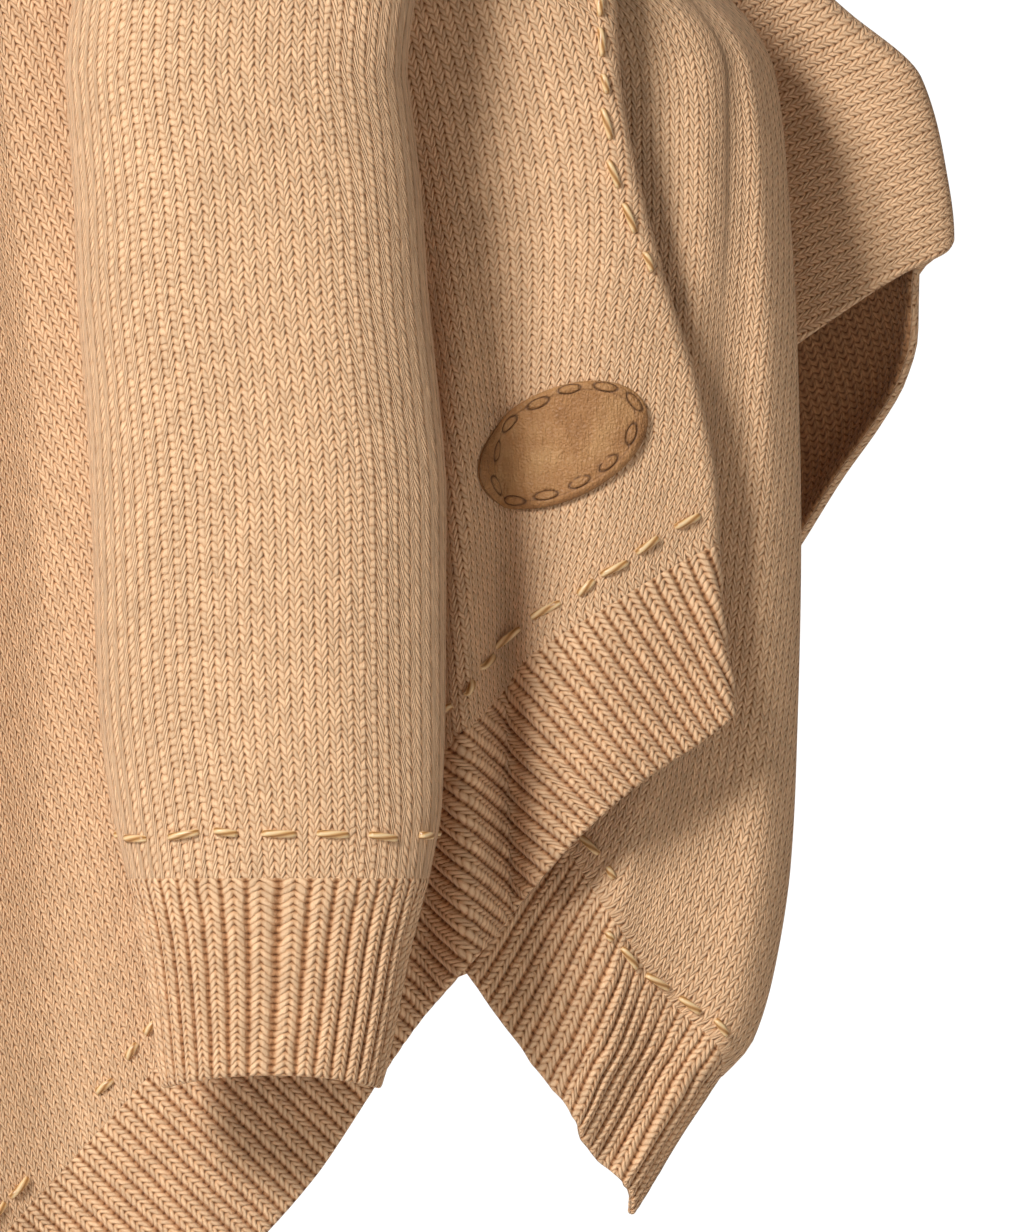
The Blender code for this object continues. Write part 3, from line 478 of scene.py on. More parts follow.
def wool(name, pattern, colours):
    """Brushed wool knit: matt, with a soft sheen from its nap, and painted shade between its stitches.

    The UV map counts wales and courses. In each wale a is the distance from its middle, 0 to 0.5.
    face: two arms of yarn fall away from the middle, sin(pi fract(v - slope a)), and leave a hole
    where they meet. rib: the same on a narrower wale, with a deep valley between wales.
    purl: rows of short arcs, sin(pi fract(v + wave(u))).
    """
    material = new_material(name)
    tree = material.node_tree
    math_node = "ShaderNodeMath"
    uv = add(tree, "ShaderNodeUVMap", uv_map="stitches")
    split = add(tree, "ShaderNodeSeparateXYZ", {0: uv})
    wale, course = split.outputs[0], split.outputs[1]
    # The yarn wanders a little, so no two stitches are quite alike.
    wander = add(tree, "ShaderNodeTexNoise", {"Vector": uv, "Scale": 0.9, "Detail": 1.5})
    drift = add(tree, math_node, {0: wander, 1: 0.5}, operation="SUBTRACT")
    course = add(tree, math_node, {0: drift, 1: 0.75, 2: course}, operation="MULTIPLY_ADD")
    noise = {"Vector": uv, "Scale": 0.8, "Detail": 1.0}
    sway = add(tree, "ShaderNodeTexNoise", noise, noise_dimensions="2D")
    sway = add(tree, math_node, {0: sway, 1: 0.5}, operation="SUBTRACT")
    swing = 0.14 if pattern == "rib" else 0.30
    wale = add(tree, math_node, {0: sway, 1: swing, 2: wale}, operation="MULTIPLY_ADD")
    cell = add(tree, math_node, {0: wale}, operation="FRACT")
    signed = add(tree, math_node, {0: cell, 1: 0.5}, operation="SUBTRACT")
    off = add(tree, math_node, {0: signed}, operation="ABSOLUTE")
    if pattern == "purl":
        wave = add(tree, math_node, {0: wale, 1: 2 * math.pi}, operation="MULTIPLY")
        wave = add(tree, math_node, {0: wave}, operation="COSINE")
        lean = add(tree, math_node, {0: wave, 1: 0.28, 2: course}, operation="MULTIPLY_ADD")
        hole = add(tree, "ShaderNodeMapRange", {0: off, 1: 0.15, 2: 0.35, 3: 0.7, 4: 0.0})
        edge = add(tree, "ShaderNodeMapRange", {0: off, 1: 0.4, 2: 0.5, 3: 0.0, 4: 1.0})
    else:
        reach = 0.5 if pattern == "face" else 0.42
        arm = add(tree, math_node, {0: off, 1: 0.5 / reach}, operation="MULTIPLY")
        arm = add(tree, math_node, {0: arm, 1: 0.5}, operation="MINIMUM")
        lean = add(tree, math_node, {0: arm, 1: -2.1, 2: course}, operation="MULTIPLY_ADD")
        hole = add(tree, "ShaderNodeMapRange", {0: arm, 1: 0.0, 2: 0.17, 3: 1.0, 4: 0.0})
        edge = add(tree, "ShaderNodeMapRange", {0: arm, 1: 0.38, 2: 0.5, 3: 0.0, 4: 1.0})
    place = add(tree, math_node, {0: lean}, operation="FRACT")
    plump = add(tree, math_node, {0: place, 1: math.pi}, operation="MULTIPLY")
    plump = add(tree, math_node, {0: plump}, operation="SINE")
    plump = add(tree, math_node, {0: plump, 1: 0.7}, operation="POWER")
    # Rows touch, so the gap between them is shallow but for the hole where a stitch's arms meet.
    touch = add(tree, math_node, {0: hole, 1: -0.50, 2: 0.50}, operation="MULTIPLY_ADD")
    gap = add(tree, math_node, {0: 1.0, 1: plump}, operation="SUBTRACT")
    yarn = add(tree, math_node, {0: gap, 1: touch, 2: plump}, operation="MULTIPLY_ADD")
    # The holes and the wales' edges sink in the bump and, through the ramp's dark stops, take painted
    # shade.
    hole_sink_and_shade = add(tree, math_node, {0: hole, 1: -0.42, 2: 1.0}, operation="MULTIPLY_ADD")
    hole_sink_and_shade = add(tree, math_node, {0: edge, 1: -0.24, 2: hole_sink_and_shade}, operation="MULTIPLY_ADD")
    yarn = add(tree, math_node, {0: yarn, 1: hole_sink_and_shade}, operation="MULTIPLY")
    # Fibres of the yarn, drawn about 0.5 mm apart, coarser than wool's, so that they show.
    object_place = add(tree, "ShaderNodeTexCoord").outputs["Object"]
    fibre = add(tree, "ShaderNodeTexNoise", {"Vector": object_place, "Scale": 1600.0, "Detail": 2.0})
    yarn = add(tree, math_node, {0: fibre, 1: 0.34, 2: yarn}, operation="MULTIPLY_ADD")
    yarn = add(tree, math_node, {0: yarn, 1: 0.17}, operation="SUBTRACT")
    # On ribs the valley between wales sinks in the bump and is darkened: painted shade.
    if pattern == "rib":
        valley = {0: off, 1: 0.33, 2: 0.5, 3: 0.0, 4: 1.0}
        valley = add(tree, "ShaderNodeMapRange", valley, interpolation_type="SMOOTHSTEP")
        yarn = add(tree, math_node, {0: valley, 1: -0.42, 2: yarn}, operation="MULTIPLY_ADD")
    # The colour follows the yarn's height, so its low parts are painted shade.
    ramp = add(tree, "ShaderNodeValToRGB", {0: yarn})
    paint_ramp(ramp, colours)
    # Each stitch is a little lighter or darker, and the dye varies slowly over the cloth.
    floor_u = add(tree, math_node, {0: wale, 1: 2.0}, operation="MULTIPLY")
    floor_u = add(tree, math_node, {0: floor_u}, operation="FLOOR")
    floor_v = add(tree, math_node, {0: lean}, operation="FLOOR")
    stitch = add(tree, "ShaderNodeCombineXYZ", {0: floor_u, 1: floor_v})
    chance = add(tree, "ShaderNodeTexWhiteNoise", {"Vector": stitch}, noise_dimensions="2D")
    cloud = add(tree, "ShaderNodeTexNoise", {"Vector": object_place, "Scale": 14.0, "Detail": 3.0})
    bright = add(tree, math_node, {0: chance, 1: 0.22, 2: 0.83}, operation="MULTIPLY_ADD")
    bright = add(tree, math_node, {0: cloud, 1: 0.14, 2: bright}, operation="MULTIPLY_ADD")
    colour = add(tree, "ShaderNodeHueSaturation", {"Value": bright, "Color": ramp})
    bump = add(tree, "ShaderNodeBump", {"Strength": 0.9, "Distance": 0.0011, "Height": yarn})
    looks = {"Base Color": colour, "Roughness": 0.92, "IOR": 1.46, "Normal": bump}
    nap = {"Sheen Weight": 0.40, "Sheen Roughness": 0.32, "Sheen Tint": srgb("#FFE6CC")}
    shader = add(tree, "ShaderNodeBsdfPrincipled", looks | nap)
    add(tree, "ShaderNodeOutputMaterial", {0: shader})
    return material


def silk(name):
    """Twisted silk cord: satin, its plies turning round each other, with painted shade between them and a
    painted highlight along them.

    The UV map gives the share v of the way along a stitch and u round it: sin(6 pi (u + 0.35 v)).
    """
    material = new_material(name)
    tree = material.node_tree
    split = add(tree, "ShaderNodeSeparateXYZ", {0: add(tree, "ShaderNodeUVMap", uv_map="stitches")})
    slant = {0: split.outputs[1], 1: 0.35, 2: split.outputs[0]}
    turn = add(tree, "ShaderNodeMath", slant, operation="MULTIPLY_ADD")
    plies = add(tree, "ShaderNodeMath", {0: turn, 1: 6 * math.pi}, operation="MULTIPLY")
    plies = add(tree, "ShaderNodeMath", {0: plies}, operation="SINE")
    ramp = add(tree, "ShaderNodeMapRange", {0: plies, 1: -1.0, 2: 1.0, 3: 0.0, 4: 1.0})
    colour = add(tree, "ShaderNodeValToRGB", {0: ramp})
    # Dark stop: painted shade between the plies; light stop: a painted highlight along them.
    paint_ramp(colour, ((0.0, "#A87742"), (0.4, "#DDB27A"), (1.0, "#F7DDB0")))
    bump = add(tree, "ShaderNodeBump", {"Strength": 0.35, "Distance": 0.0002, "Height": ramp})
    looks = {"Base Color": colour, "Roughness": 0.30, "IOR": 1.54, "Normal": bump}
    soft = {"Sheen Weight": 0.15, "Sheen Roughness": 0.3}
    shader = add(tree, "ShaderNodeBsdfPrincipled", looks | soft)
    add(tree, "ShaderNodeOutputMaterial", {0: shader})
    return material


def leather(name):
    """Vegetable-tanned cowhide: satin, with a fine grain, shallow creases and painted shade in its pressed
    grooves.
    """
    material = new_material(name)
    tree = material.node_tree
    place = add(tree, "ShaderNodeTexCoord").outputs["Object"]
    grain = add(tree, "ShaderNodeTexVoronoi", {"Vector": place, "Scale": 1100.0}, feature="SMOOTH_F1")
    slant = {0: place, "Rotation": (0.0, 0.25, 0.0), "Scale": (520.0, 520.0, 130.0)}
    stretch = add(tree, "ShaderNodeMapping", slant)
    wrinkles = {"Vector": stretch, "Scale": 1.0, "Detail": 4.0, "Distortion": 1.6}
    crease = add(tree, "ShaderNodeTexNoise", wrinkles)
    cloud = add(tree, "ShaderNodeTexNoise", {"Vector": place, "Scale": 60.0, "Detail": 4.0})
    tone = add(tree, "ShaderNodeMath", {0: crease, 1: 0.35, 2: cloud}, operation="MULTIPLY_ADD")
    ramp = add(tree, "ShaderNodeValToRGB", {0: tone})
    paint_ramp(ramp, ((0.40, "#8E6239"), (0.66, "#B08152"), (0.95, "#C89D6B")))
    # The pressed grooves round the slots and the scored ring take a dark brown: painted shade.
    pressed = add(tree, "ShaderNodeAttribute", attribute_name="pressed").outputs["Fac"]
    darker = {"Factor": pressed, "A": ramp, "B": srgb("#5E3C1E")}
    colour = add(tree, "ShaderNodeMix", darker, data_type="RGBA").outputs["Result"]
    rough = add(tree, "ShaderNodeMapRange", {0: crease, 1: 0.3, 2: 0.7, 3: 0.42, 4: 0.58})
    relief = add(tree, "ShaderNodeMath", {0: crease, 1: 1.6, 2: grain}, operation="MULTIPLY_ADD")
    bump = add(tree, "ShaderNodeBump", {"Strength": 0.8, "Distance": 0.0007, "Height": relief})
    looks = {"Base Color": colour, "Roughness": rough, "IOR": 1.5, "Normal": bump}
    shader = add(tree, "ShaderNodeBsdfPrincipled", looks)
    add(tree, "ShaderNodeOutputMaterial", {0: shader})
    return material


def mesh_object(name, points, quads, uv, materials, slots=None):
    """A mesh in metres from points in millimetres, quads and one UV pair for each corner."""
    mesh = bpy.data.meshes.new(name)
    mesh.vertices.add(len(points))
    mesh.vertices.foreach_set("co", (points * 0.001).astype(np.float32).ravel())
    mesh.loops.add(quads.size)
    mesh.loops.foreach_set("vertex_index", quads.astype(np.int32).ravel())
    mesh.polygons.add(len(quads))
    mesh.polygons.foreach_set("loop_start", np.arange(0, quads.size, 4, dtype=np.int32))
    if slots is not None:
        mesh.polygons.foreach_set("material_index", slots.astype(np.int32))
    layer = mesh.uv_layers.new(name="stitches")
    layer.data.foreach_set("uv", uv.astype(np.float32).ravel())
    mesh.update(calc_edges=True)
    mesh.validate()
    mesh.shade_smooth()
    for material in materials:
        mesh.materials.append(material)
    piece = bpy.data.objects.new(name, mesh)
    bpy.context.scene.collection.objects.link(piece)
    return piece


def grid_quads(rows, wide, columns):
    """Point numbers of a grid's cells, wide cells to a row, in a list with columns points to a row.

    A row with as many cells as points closes in a ring.
    """
    i, j = (part.ravel() for part in np.meshgrid(np.arange(rows), np.arange(wide), indexing="ij"))
    k = (j + 1) % columns
    return np.stack([i * columns + j, i * columns + k, (i + 1) * columns + k, (i + 1) * columns + j], 1)


def cap_quads(count):
    """Quads straight across a ring of an even number of points."""
    half = np.arange(count // 2 - 1)
    return np.stack([half, half + 1, count - 2 - half, count - 1 - half], 1)


def shell(name, middle, normal, thick, uv, materials, cells=None, ring=False, rise=0.0, inside=0.0):
    """A closed shell of cloth: the middle grid moved half of thick along its normal each way.

    rise and inside move the face and the back further out and in, as on ribs. uv holds a pair for each
    point, and on a ring one column more than the points. Rim quads close every open side, and the back
    takes the second material.
    """
    rows, columns = middle.shape[:2]
    wide = columns if ring else columns - 1
    outer = middle + normal * (thick / 2 + rise)[..., None]
    inner = middle - normal * (thick / 2 + inside)[..., None]
    kept = np.ones((rows - 1) * wide, bool) if cells is None else cells.ravel()
    corner = grid_quads(rows - 1, wide, columns)[kept]
    uv_corner = grid_quads(rows - 1, wide, uv.shape[1])[kept]
    edges = np.concatenate([corner[:, [n, (n + 1) % 4]] for n in range(4)])
    edge_uv = np.concatenate([uv_corner[:, [n, (n + 1) % 4]] for n in range(4)])
    size = rows * columns
    forth = edges[:, 0] * size + edges[:, 1]
    open_edge = ~np.isin(forth, edges[:, 1] * size + edges[:, 0])
    edges, edge_uv = edges[open_edge], edge_uv[open_edge]
    rim = np.stack([edges[:, 1], edges[:, 0], edges[:, 0] + size, edges[:, 1] + size], 1)
    rim_uv = edge_uv[:, [1, 0, 0, 1]]
    quads = np.concatenate([corner, corner[:, ::-1] + size, rim])
    uvs = uv.reshape(-1, 2)[np.concatenate([uv_corner, uv_corner[:, ::-1], rim_uv])]
    uvs[len(uvs) - len(rim) :, 2:] += RIM_STITCHES
    slots = np.zeros(len(quads))
    slots[len(corner) : 2 * len(corner)] = len(materials) - 1
    points = np.concatenate([outer.reshape(-1, 3), inner.reshape(-1, 3)])
    a, b, d = (points[corner[:, n]] for n in (0, 1, 3))
    if np.sum(np.cross(b - a, d - a) * normal.reshape(-1, 3)[corner[:, 0]]) < 0:
        quads, uvs = quads[:, ::-1], uvs[:, ::-1]
    used = np.unique(quads)
    number = np.zeros(2 * size, int)
    number[used] = np.arange(len(used))
    return mesh_object(name, points[used], number[quads], uvs, materials, slots)


def walked_from(middle, column):
    """Distance walked across each row of a grid from one of its columns, less than 0 before it."""
    walked = lengths(middle, 1)
    return walked - walked[:, column : column + 1]


def leaned(across, down, lean):
    """Turns lengths across and down by the wales' lean, and counts them in wales and courses."""
    lean = np.radians(lean)
    wales = (across * np.cos(lean) - down * np.sin(lean)) / WALE
    courses = (across * np.sin(lean) + down * np.cos(lean)) / COURSE
    return np.stack([wales, courses], axis=-1)


def edge_thickness(to_edge):
    """Full thickness inside, falling as a quarter circle over the last ROUND_EDGE at a free edge."""
    share = np.clip(to_edge / ROUND_EDGE, 0.0, 1.0)
    return WALL * (0.25 + 0.75 * np.sqrt(1 - (1 - share) ** 2))


def tuck_thickness(down):
    """A band starts thin inside its panel and is as thick as the panel a little way below its seam."""
    return 0.5 + 0.5 * ease((down + BAND_TUCK) / 2.2)


def seam_thickness(to_seam):
    """A panel thins over the last millimetre and a half, where the band starts inside it."""
    return 0.55 + 0.45 * ease(to_seam / 1.6)


def down_to(top, foot, down):
    """Heights from top to foot by shares of the way, then close rows for the last 4 mm."""
    last = np.array([4.0, 2.4, 1.6, 0.8, 0.0])[:, None]
    return np.concatenate([top + (foot + 5.5 - top) * down, foot + last])


def side_reach(height):
    """How far the front panel's cloth reaches across its pattern at a height, its turned edge too."""
    height = np.clip(height, FRONT_TURN[-1][0], FRONT_TURN[0][0])
    return smooth(FRONT_EDGE, height) + smooth(FRONT_TURN, height)


def front_top(across):
    """The neck's half ellipse, then the shoulder line, then over the wing's ridge."""
    reach = np.abs(across)
    neck = NECK_TOP - NECK_DROP * np.sqrt(np.clip(1 - (reach / NECK_REACH) ** 2, 0.0, 1.0))
    shoulder = smooth(RIDGE, np.maximum(reach, NECK_REACH)) + overlap_lift(reach)
    return np.where(reach < NECK_REACH, neck, shoulder)


def front_foot(across):
    """Height of the line where the front panel's band starts."""
    return smooth([(row[0], row[1]) for row in FRONT_HEM], np.abs(across))


def back_foot(across):
    """The same on the back panel, by share of its reach."""
    return smooth(BACK_FOOT, np.abs(across))


def side_foot(along):
    """The same on the side panel, by plan key."""
    return smooth(SIDE_FOOT, along)


def both_ways(half):
    """A half list from 0 up, mirrored below 0."""
    return np.concatenate([-half[:0:-1], half])


def make_front(materials):
    """The front panel with an armhole on each side, its rim of points moved onto the armhole's ellipse."""
    close = np.linspace(0.93, 0.996, 16)
    columns = both_ways(np.concatenate([np.linspace(0, close[0], 76)[:-1], close, [1.0]]))
    down = np.linspace(0, 1, 132)[:, None] ** 1.45
    top = front_top(columns * side_reach(FRONT_EDGE[0][0]))[None]
    foot = front_foot(columns * side_reach(FRONT_TURN[-1][0]))[None]
    height = down_to(top, foot, down)
    across = columns[None] * side_reach(height)
    reach, level, half_wide, half_high = ARMHOLE
    middle_x = (across[:-1, :-1] + across[1:, 1:]) / 2
    middle_z = (height[:-1, :-1] + height[1:, 1:]) / 2
    inside = ((np.abs(middle_x) - reach) / half_wide) ** 2 + ((middle_z - level) / half_high) ** 2 < 1
    touch_cloth = np.zeros(across.shape, bool)
    touch_hole = np.zeros(across.shape, bool)
    for di in (0, 1):
        for dj in (0, 1):
            view = np.s_[di : across.shape[0] - 1 + di, dj : across.shape[1] - 1 + dj]
            touch_hole[view] |= inside
            touch_cloth[view] |= ~inside
    rim = touch_hole & touch_cloth
    angle = np.arctan2((height - level) / half_high, (np.abs(across) - reach) / half_wide)
    across = np.where(rim, np.sign(across) * (reach + half_wide * np.cos(angle)), across)
    height = np.where(rim, level + half_high * np.sin(angle), height)
    middle = front_surface(across, height)
    uv = leaned(np.abs(walked_from(middle, len(columns) // 2)), -height, FRONT_WALES)
    thick = edge_thickness((1 - np.abs(columns[None])) * side_reach(height))
    thick = thick * seam_thickness(height - foot)
    return shell("front", middle, front_normal(across, height), thick, uv, materials, cells=~inside)


def even_columns(length_of, most, pitch):
    """Positions from 0 to most with RIB_SAMPLES steps a rib, evenly spaced by length_of."""
    fine = np.linspace(0, most, 1200)
    length = length_of(fine)
    ribs = int(round(length[-1] / pitch))
    return np.interp(np.linspace(0, length[-1], RIB_SAMPLES * ribs + 1), length, fine)


def rib_profile(phase):
    """Height of the ribs' cross-section, -1 to 1: rounded tops with narrow valleys at whole phases."""
    off = np.abs(phase - np.round(phase))
    return 1 - 2 * np.exp(-((off / 0.17) ** 2))


def band(name, middle, normal, phase, down, materials, ring=False):
    """A ribbed band: its ribs grow from nothing below the panel and flatten at its free edge."""
    full = down[-1:]
    grown = ease((down - 1) / RIB_START) * (1 - 0.75 * ease((down - full + 9) / 8))
    rise = RIB_RISE * rib_profile(phase) * grown
    thick = edge_thickness(full - down) * tuck_thickness(down)
    uv = np.stack([phase, down / BAND_COURSE], axis=-1)
    if ring:
        uv = np.concatenate([uv, uv[:, :1]], axis=1)
        uv[:, -1, 0] = phase[:, -1] + 1 / RIB_SAMPLES
    return shell(name, middle, normal, thick, uv, materials, ring=ring, rise=rise, inside=0.5 * rise)


def make_front_hem(materials):
    """The front panel's band: straight ribs between the two lines of FRONT_HEM."""
    rows = [(index,) + row for index, row in enumerate(FRONT_HEM)]

    def line(at, columns):
        return [smooth(rows, at, column) for column in columns]

    def length(at):
        (x0, z0), (x1, z1) = line(at, (1, 2)), line(at, (3, 4))
        return lengths(np.stack([(x0 + x1) / 2, (z0 + z1) / 2], axis=1), 0)

    half = even_columns(length, len(rows) - 1, RIB_PITCH)
    at = both_ways(half)
    side = np.where(np.arange(len(at)) < len(half) - 1, -1.0, 1.0)
    (x0, z0), (x1, z1) = line(np.abs(at), (1, 2)), line(np.abs(at), (3, 4))
    start = [-BAND_TUCK / 75, -0.023, -0.012, 0.0, 0.026]
    share = np.concatenate([start, np.linspace(0.06, 0.95, 16), [0.975, 0.99, 1.0]])[:, None]
    across = side * (x0 + (x1 - x0) * share)
    height = z0 + (z1 - z0) * share
    middle = front_surface(across, height)
    down = lengths(middle, 0) - BAND_TUCK
    phase = (np.arange(len(at)) - len(half) + 1)[None] / RIB_SAMPLES + 0 * down
    return band("front_hem_band", middle, front_normal(across, height), np.abs(phase), down, materials)


def make_back(materials):
    """The back panel, with a thicker roll along its free edges."""
    close = np.linspace(0.84, 0.997, 24)
    columns = both_ways(np.concatenate([np.linspace(0, close[0], 52)[:-1], close, [1.0]]))
    down = np.linspace(0, 1, 110)[:, None] ** 1.3
    foot = back_foot(columns)[None]
    height = down_to(NECK_TOP, foot, down)
    across = columns[None] + 0 * height
    middle = back_surface(across, height)
    uv = leaned(np.abs(walked_from(middle, len(columns) // 2)), -height, BACK_WALES)
    free = (1 - np.abs(columns[None])) * 300 + 4 * ease((height - SEAM_END) / 6)
    thick = edge_thickness(free) * seam_thickness(height - foot)
    rolled = ease((SEAM_END - height) / 14) * np.exp(-(((free - 6.5) / 3.0) ** 2))
    thick = thick * (1 + 0.9 * rolled)
    return shell("back", middle, back_normal(across, height), thick, uv, materials)


def walk_down(surface, along, height, lean, length, span):
    """Pattern points down ribs that lean by an angle from their start, and how far down each lies.

    The cloth is walked in a few equal steps, measured on the surface. The rows are then read off at the
    band's own distances: a tuck inside the panel, even rows, and close ones at its edge.
    """
    rows = [(along, height)]
    step = length / WALK_STEPS
    for _ in range(WALK_STEPS):
        over = (surface(along + span, height) - surface(along - span, height)) / (2 * span)
        rise = surface(along, height + 0.5) - surface(along, height - 0.5)
        speed = np.linalg.norm(over, axis=-1)
        shear = np.sum(rise * over, axis=-1) / speed
        steep = np.sqrt(np.sum(rise * rise, axis=-1) - shear**2)
        fall = np.cos(lean) * step / steep
        along = along + (np.sin(lean) * step + fall * shear) / speed
        height = height - fall
        rows.append((along, height))
    rows = np.array(rows)
    start = [-BAND_TUCK, -1.7, -0.9, 0, 2]
    down = np.concatenate([start, np.linspace(5, length - 4, 14), [length - 1.6, length - 0.5, length]])
    i = np.clip(np.floor(down / step).astype(int), 0, WALK_STEPS - 1)
    t = (down / step - i)[:, None, None]
    along, height = np.moveaxis(rows[i] + (rows[i + 1] - rows[i]) * t, 1, 0)
    return along, height, down[:, None] + 0 * along


def make_back_hem(materials):
    """The back panel's band, its ribs leaning outwards."""

    def length(at):
        return lengths(back_surface(at, back_foot(at)), 0)

    half = even_columns(length, 1.0, RIB_PITCH)
    across = both_ways(half)
    lean = np.sign(across) * np.radians(smooth(BACK_LEAN, np.abs(across)))
    along, height, down = walk_down(back_surface, across, back_foot(across), lean, BACK_BAND, 0.01)
    phase = np.abs(np.arange(len(across)) - len(half) + 1)[None] / RIB_SAMPLES + 0 * down
    middle, normal = back_surface(along, height), back_normal(along, height)
    return band("back_hem_band", middle, normal, phase, down, materials)


def mirror(piece, name):
    """A mirror image across the centre plane, its faces turned to point out again."""
    mesh = piece.data.copy()
    mesh.name = name
    places = np.empty(3 * len(mesh.vertices), np.float32)
    mesh.vertices.foreach_get("co", places)
    places[::3] *= -1
    mesh.vertices.foreach_set("co", places)
    mesh.flip_normals()
    mesh.update()
    made = bpy.data.objects.new(name, mesh)
    bpy.context.scene.collection.objects.link(made)
    return made


def make_side(materials):
    """The side panel. Its wales change direction in the deep fold, where no one sees it."""
    spans = ((0.2, 1, 10), (1, 3, 44), (3, 5, 26), (5, 7, 36), (7, 9, 24))
    even = [np.linspace(*span)[:-1] for span in spans]
    columns = np.concatenate([[0, 0.03, 0.1]] + even + [np.linspace(9, 12.96, 42), [13.0]])
    foot = side_foot(columns)[None]
    height = down_to(SEAM_START, foot, np.linspace(0, 1, 118)[:, None])
    along = columns[None] + 0 * height
    middle = side_surface(along, height)
    lean = np.where(columns < INNER_TURN_KEY, WING_WALES, SIDE_WALES)[None]
    turn = np.argmin(np.abs(columns - INNER_TURN_KEY))
    uv = leaned(walked_from(middle, turn), -height, lean)
    sewn = (columns >= SIDE_HEM_KEY) | ((columns < 0.6) & (height > SEAM_END + 10))
    free = np.minimum(np.where(sewn, 99.0, height - foot), (13 - columns[None]) * 30)
    thick = edge_thickness(free + 0.2) * seam_thickness(height - foot)
    left = shell("side_left", middle, side_normal(along, height), thick, uv, materials)
    return left, mirror(left, "side_right")


def make_side_hem(materials):
    """The side panel's band, from inside its folds to its front edge."""

    def length(at):
        return lengths(side_surface(at + SIDE_HEM_KEY, side_foot(at + SIDE_HEM_KEY)), 0)

    start = SIDE_HEM_KEY + even_columns(length, 13 - SIDE_HEM_KEY, RIB_PITCH / math.cos(math.radians(5)))
    lean = np.radians(smooth(SIDE_LEAN, start))
    along, height, down = walk_down(side_surface, start, side_foot(start), lean, SIDE_BAND, 0.02)
    phase = np.arange(len(start))[None] / RIB_SAMPLES + 0 * down
    middle, normal = side_surface(along, height), side_normal(along, height)
    left = band("side_hem_band_left", middle, normal, phase, down, materials)
    return left, mirror(left, "side_hem_band_right")


def sleeve_crease(angle, along):
    """Soft creases of the hanging sleeve: long shallow waves that fade at both ends."""
    fade = ease(along * 2) * ease((2 - along) * 5)
    waves = 1.1 * np.sin(3 * angle + 1.8 * along + 0.6) + 0.8 * np.sin(5 * angle - 2.6 * along)
    return fade * waves


def make_sleeve(materials):
    """Both sleeves, from the armhole's seam to the cuff's."""
    angle = np.linspace(0, 2 * math.pi, 132, endpoint=False)[None]
    close = [1.987, 1.992, 1.9948, 1.9974, 2.0]
    along = np.concatenate([np.linspace(0, 1, 46)[:-1], np.linspace(1, 1.982, 84), close])[:, None]
    middle = sleeve_surface(angle + 0 * along, along + 0 * angle)
    normal = ring_normals(middle)
    middle = middle + normal * sleeve_crease(angle, along)[..., None]
    closed = np.concatenate([middle, middle[:, :1]], axis=1)
    walked = lengths(closed, 1)
    wales = np.round(walked[60:61, -1:] / SLEEVE_WALE)
    uv = np.stack([walked / walked[:, -1:] * wales, lengths(closed, 0) / COURSE], axis=-1)
    thick = WALL * seam_thickness(middle[..., 2] - SLEEVE[-1][0])
    left = shell("left_sleeve", middle, normal, thick, uv, materials, ring=True)
    return left, mirror(left, "right_sleeve")


def make_cuff(materials):
    """Both cuffs, whose lower edge is arched a little."""
    angle = np.arange(RIB_SAMPLES * CUFF_RIBS)[None] * 2 * math.pi / (RIB_SAMPLES * CUFF_RIBS)
    bottom, top = CUFF[-1][0], CUFF[0][0] + BAND_TUCK
    start = top - np.array([0, 0.9, 1.7, 2.6, 4.6])
    last = bottom + np.array([1.6, 0.5, 0])
    height = np.concatenate([start, np.linspace(top - 7.5, bottom + 4, 17), last])[:, None]
    middle = sleeve_ring(CUFF, angle + 0 * height, height + 0 * angle)
    arch = 2.5 * np.cos(2 * angle) * ease((-600 - height) / 48)
    middle[..., 2] -= arch
    phase = angle / (2 * math.pi) * CUFF_RIBS + 0 * height
    down = top - height - BAND_TUCK + 0 * angle
    left = band("left_cuff", middle, ring_normals(middle), phase, down, materials, ring=True)
    return left, mirror(left, "right_cuff")


def make_neckband(materials):
    """A ribbed ring that stands on the neck opening, leaning inwards."""
    across = NECK_REACH * np.sin(np.linspace(-math.pi / 2, math.pi / 2, 160))
    front = front_surface(across, front_top(across))
    back = back_surface(np.linspace(1, -1, 120), np.full(120, NECK_TOP))
    closed = np.concatenate([front[:-1], back])
    closed[-1] = closed[0]
    length = lengths(closed, 0)
    ribs = int(round(length[-1] / RIB_PITCH))
    at = np.linspace(0, length[-1], RIB_SAMPLES * ribs, endpoint=False)
    loop = np.stack([np.interp(at, length, closed[:, c]) for c in range(3)], axis=1)
    out = loop - loop.mean(axis=0)
    out[:, 2] = 0
    out /= np.linalg.norm(out, axis=1, keepdims=True)
    foot = loop - out * (WALL + NECK_INSET)
    share = np.concatenate([[-0.06], np.linspace(0.05, 0.9, 8), [0.96, 1.0]])[:, None]
    middle = foot + share[..., None] * (np.array([0, 0, NECKBAND_HEIGHT]) - out * 5)
    phase = np.arange(len(loop))[None] / RIB_SAMPLES + 0 * share
    down = share * NECKBAND_HEIGHT + 0 * phase
    return band("neck_ribbing", middle, out[None] + 0 * middle, phase, down, materials, ring=True)


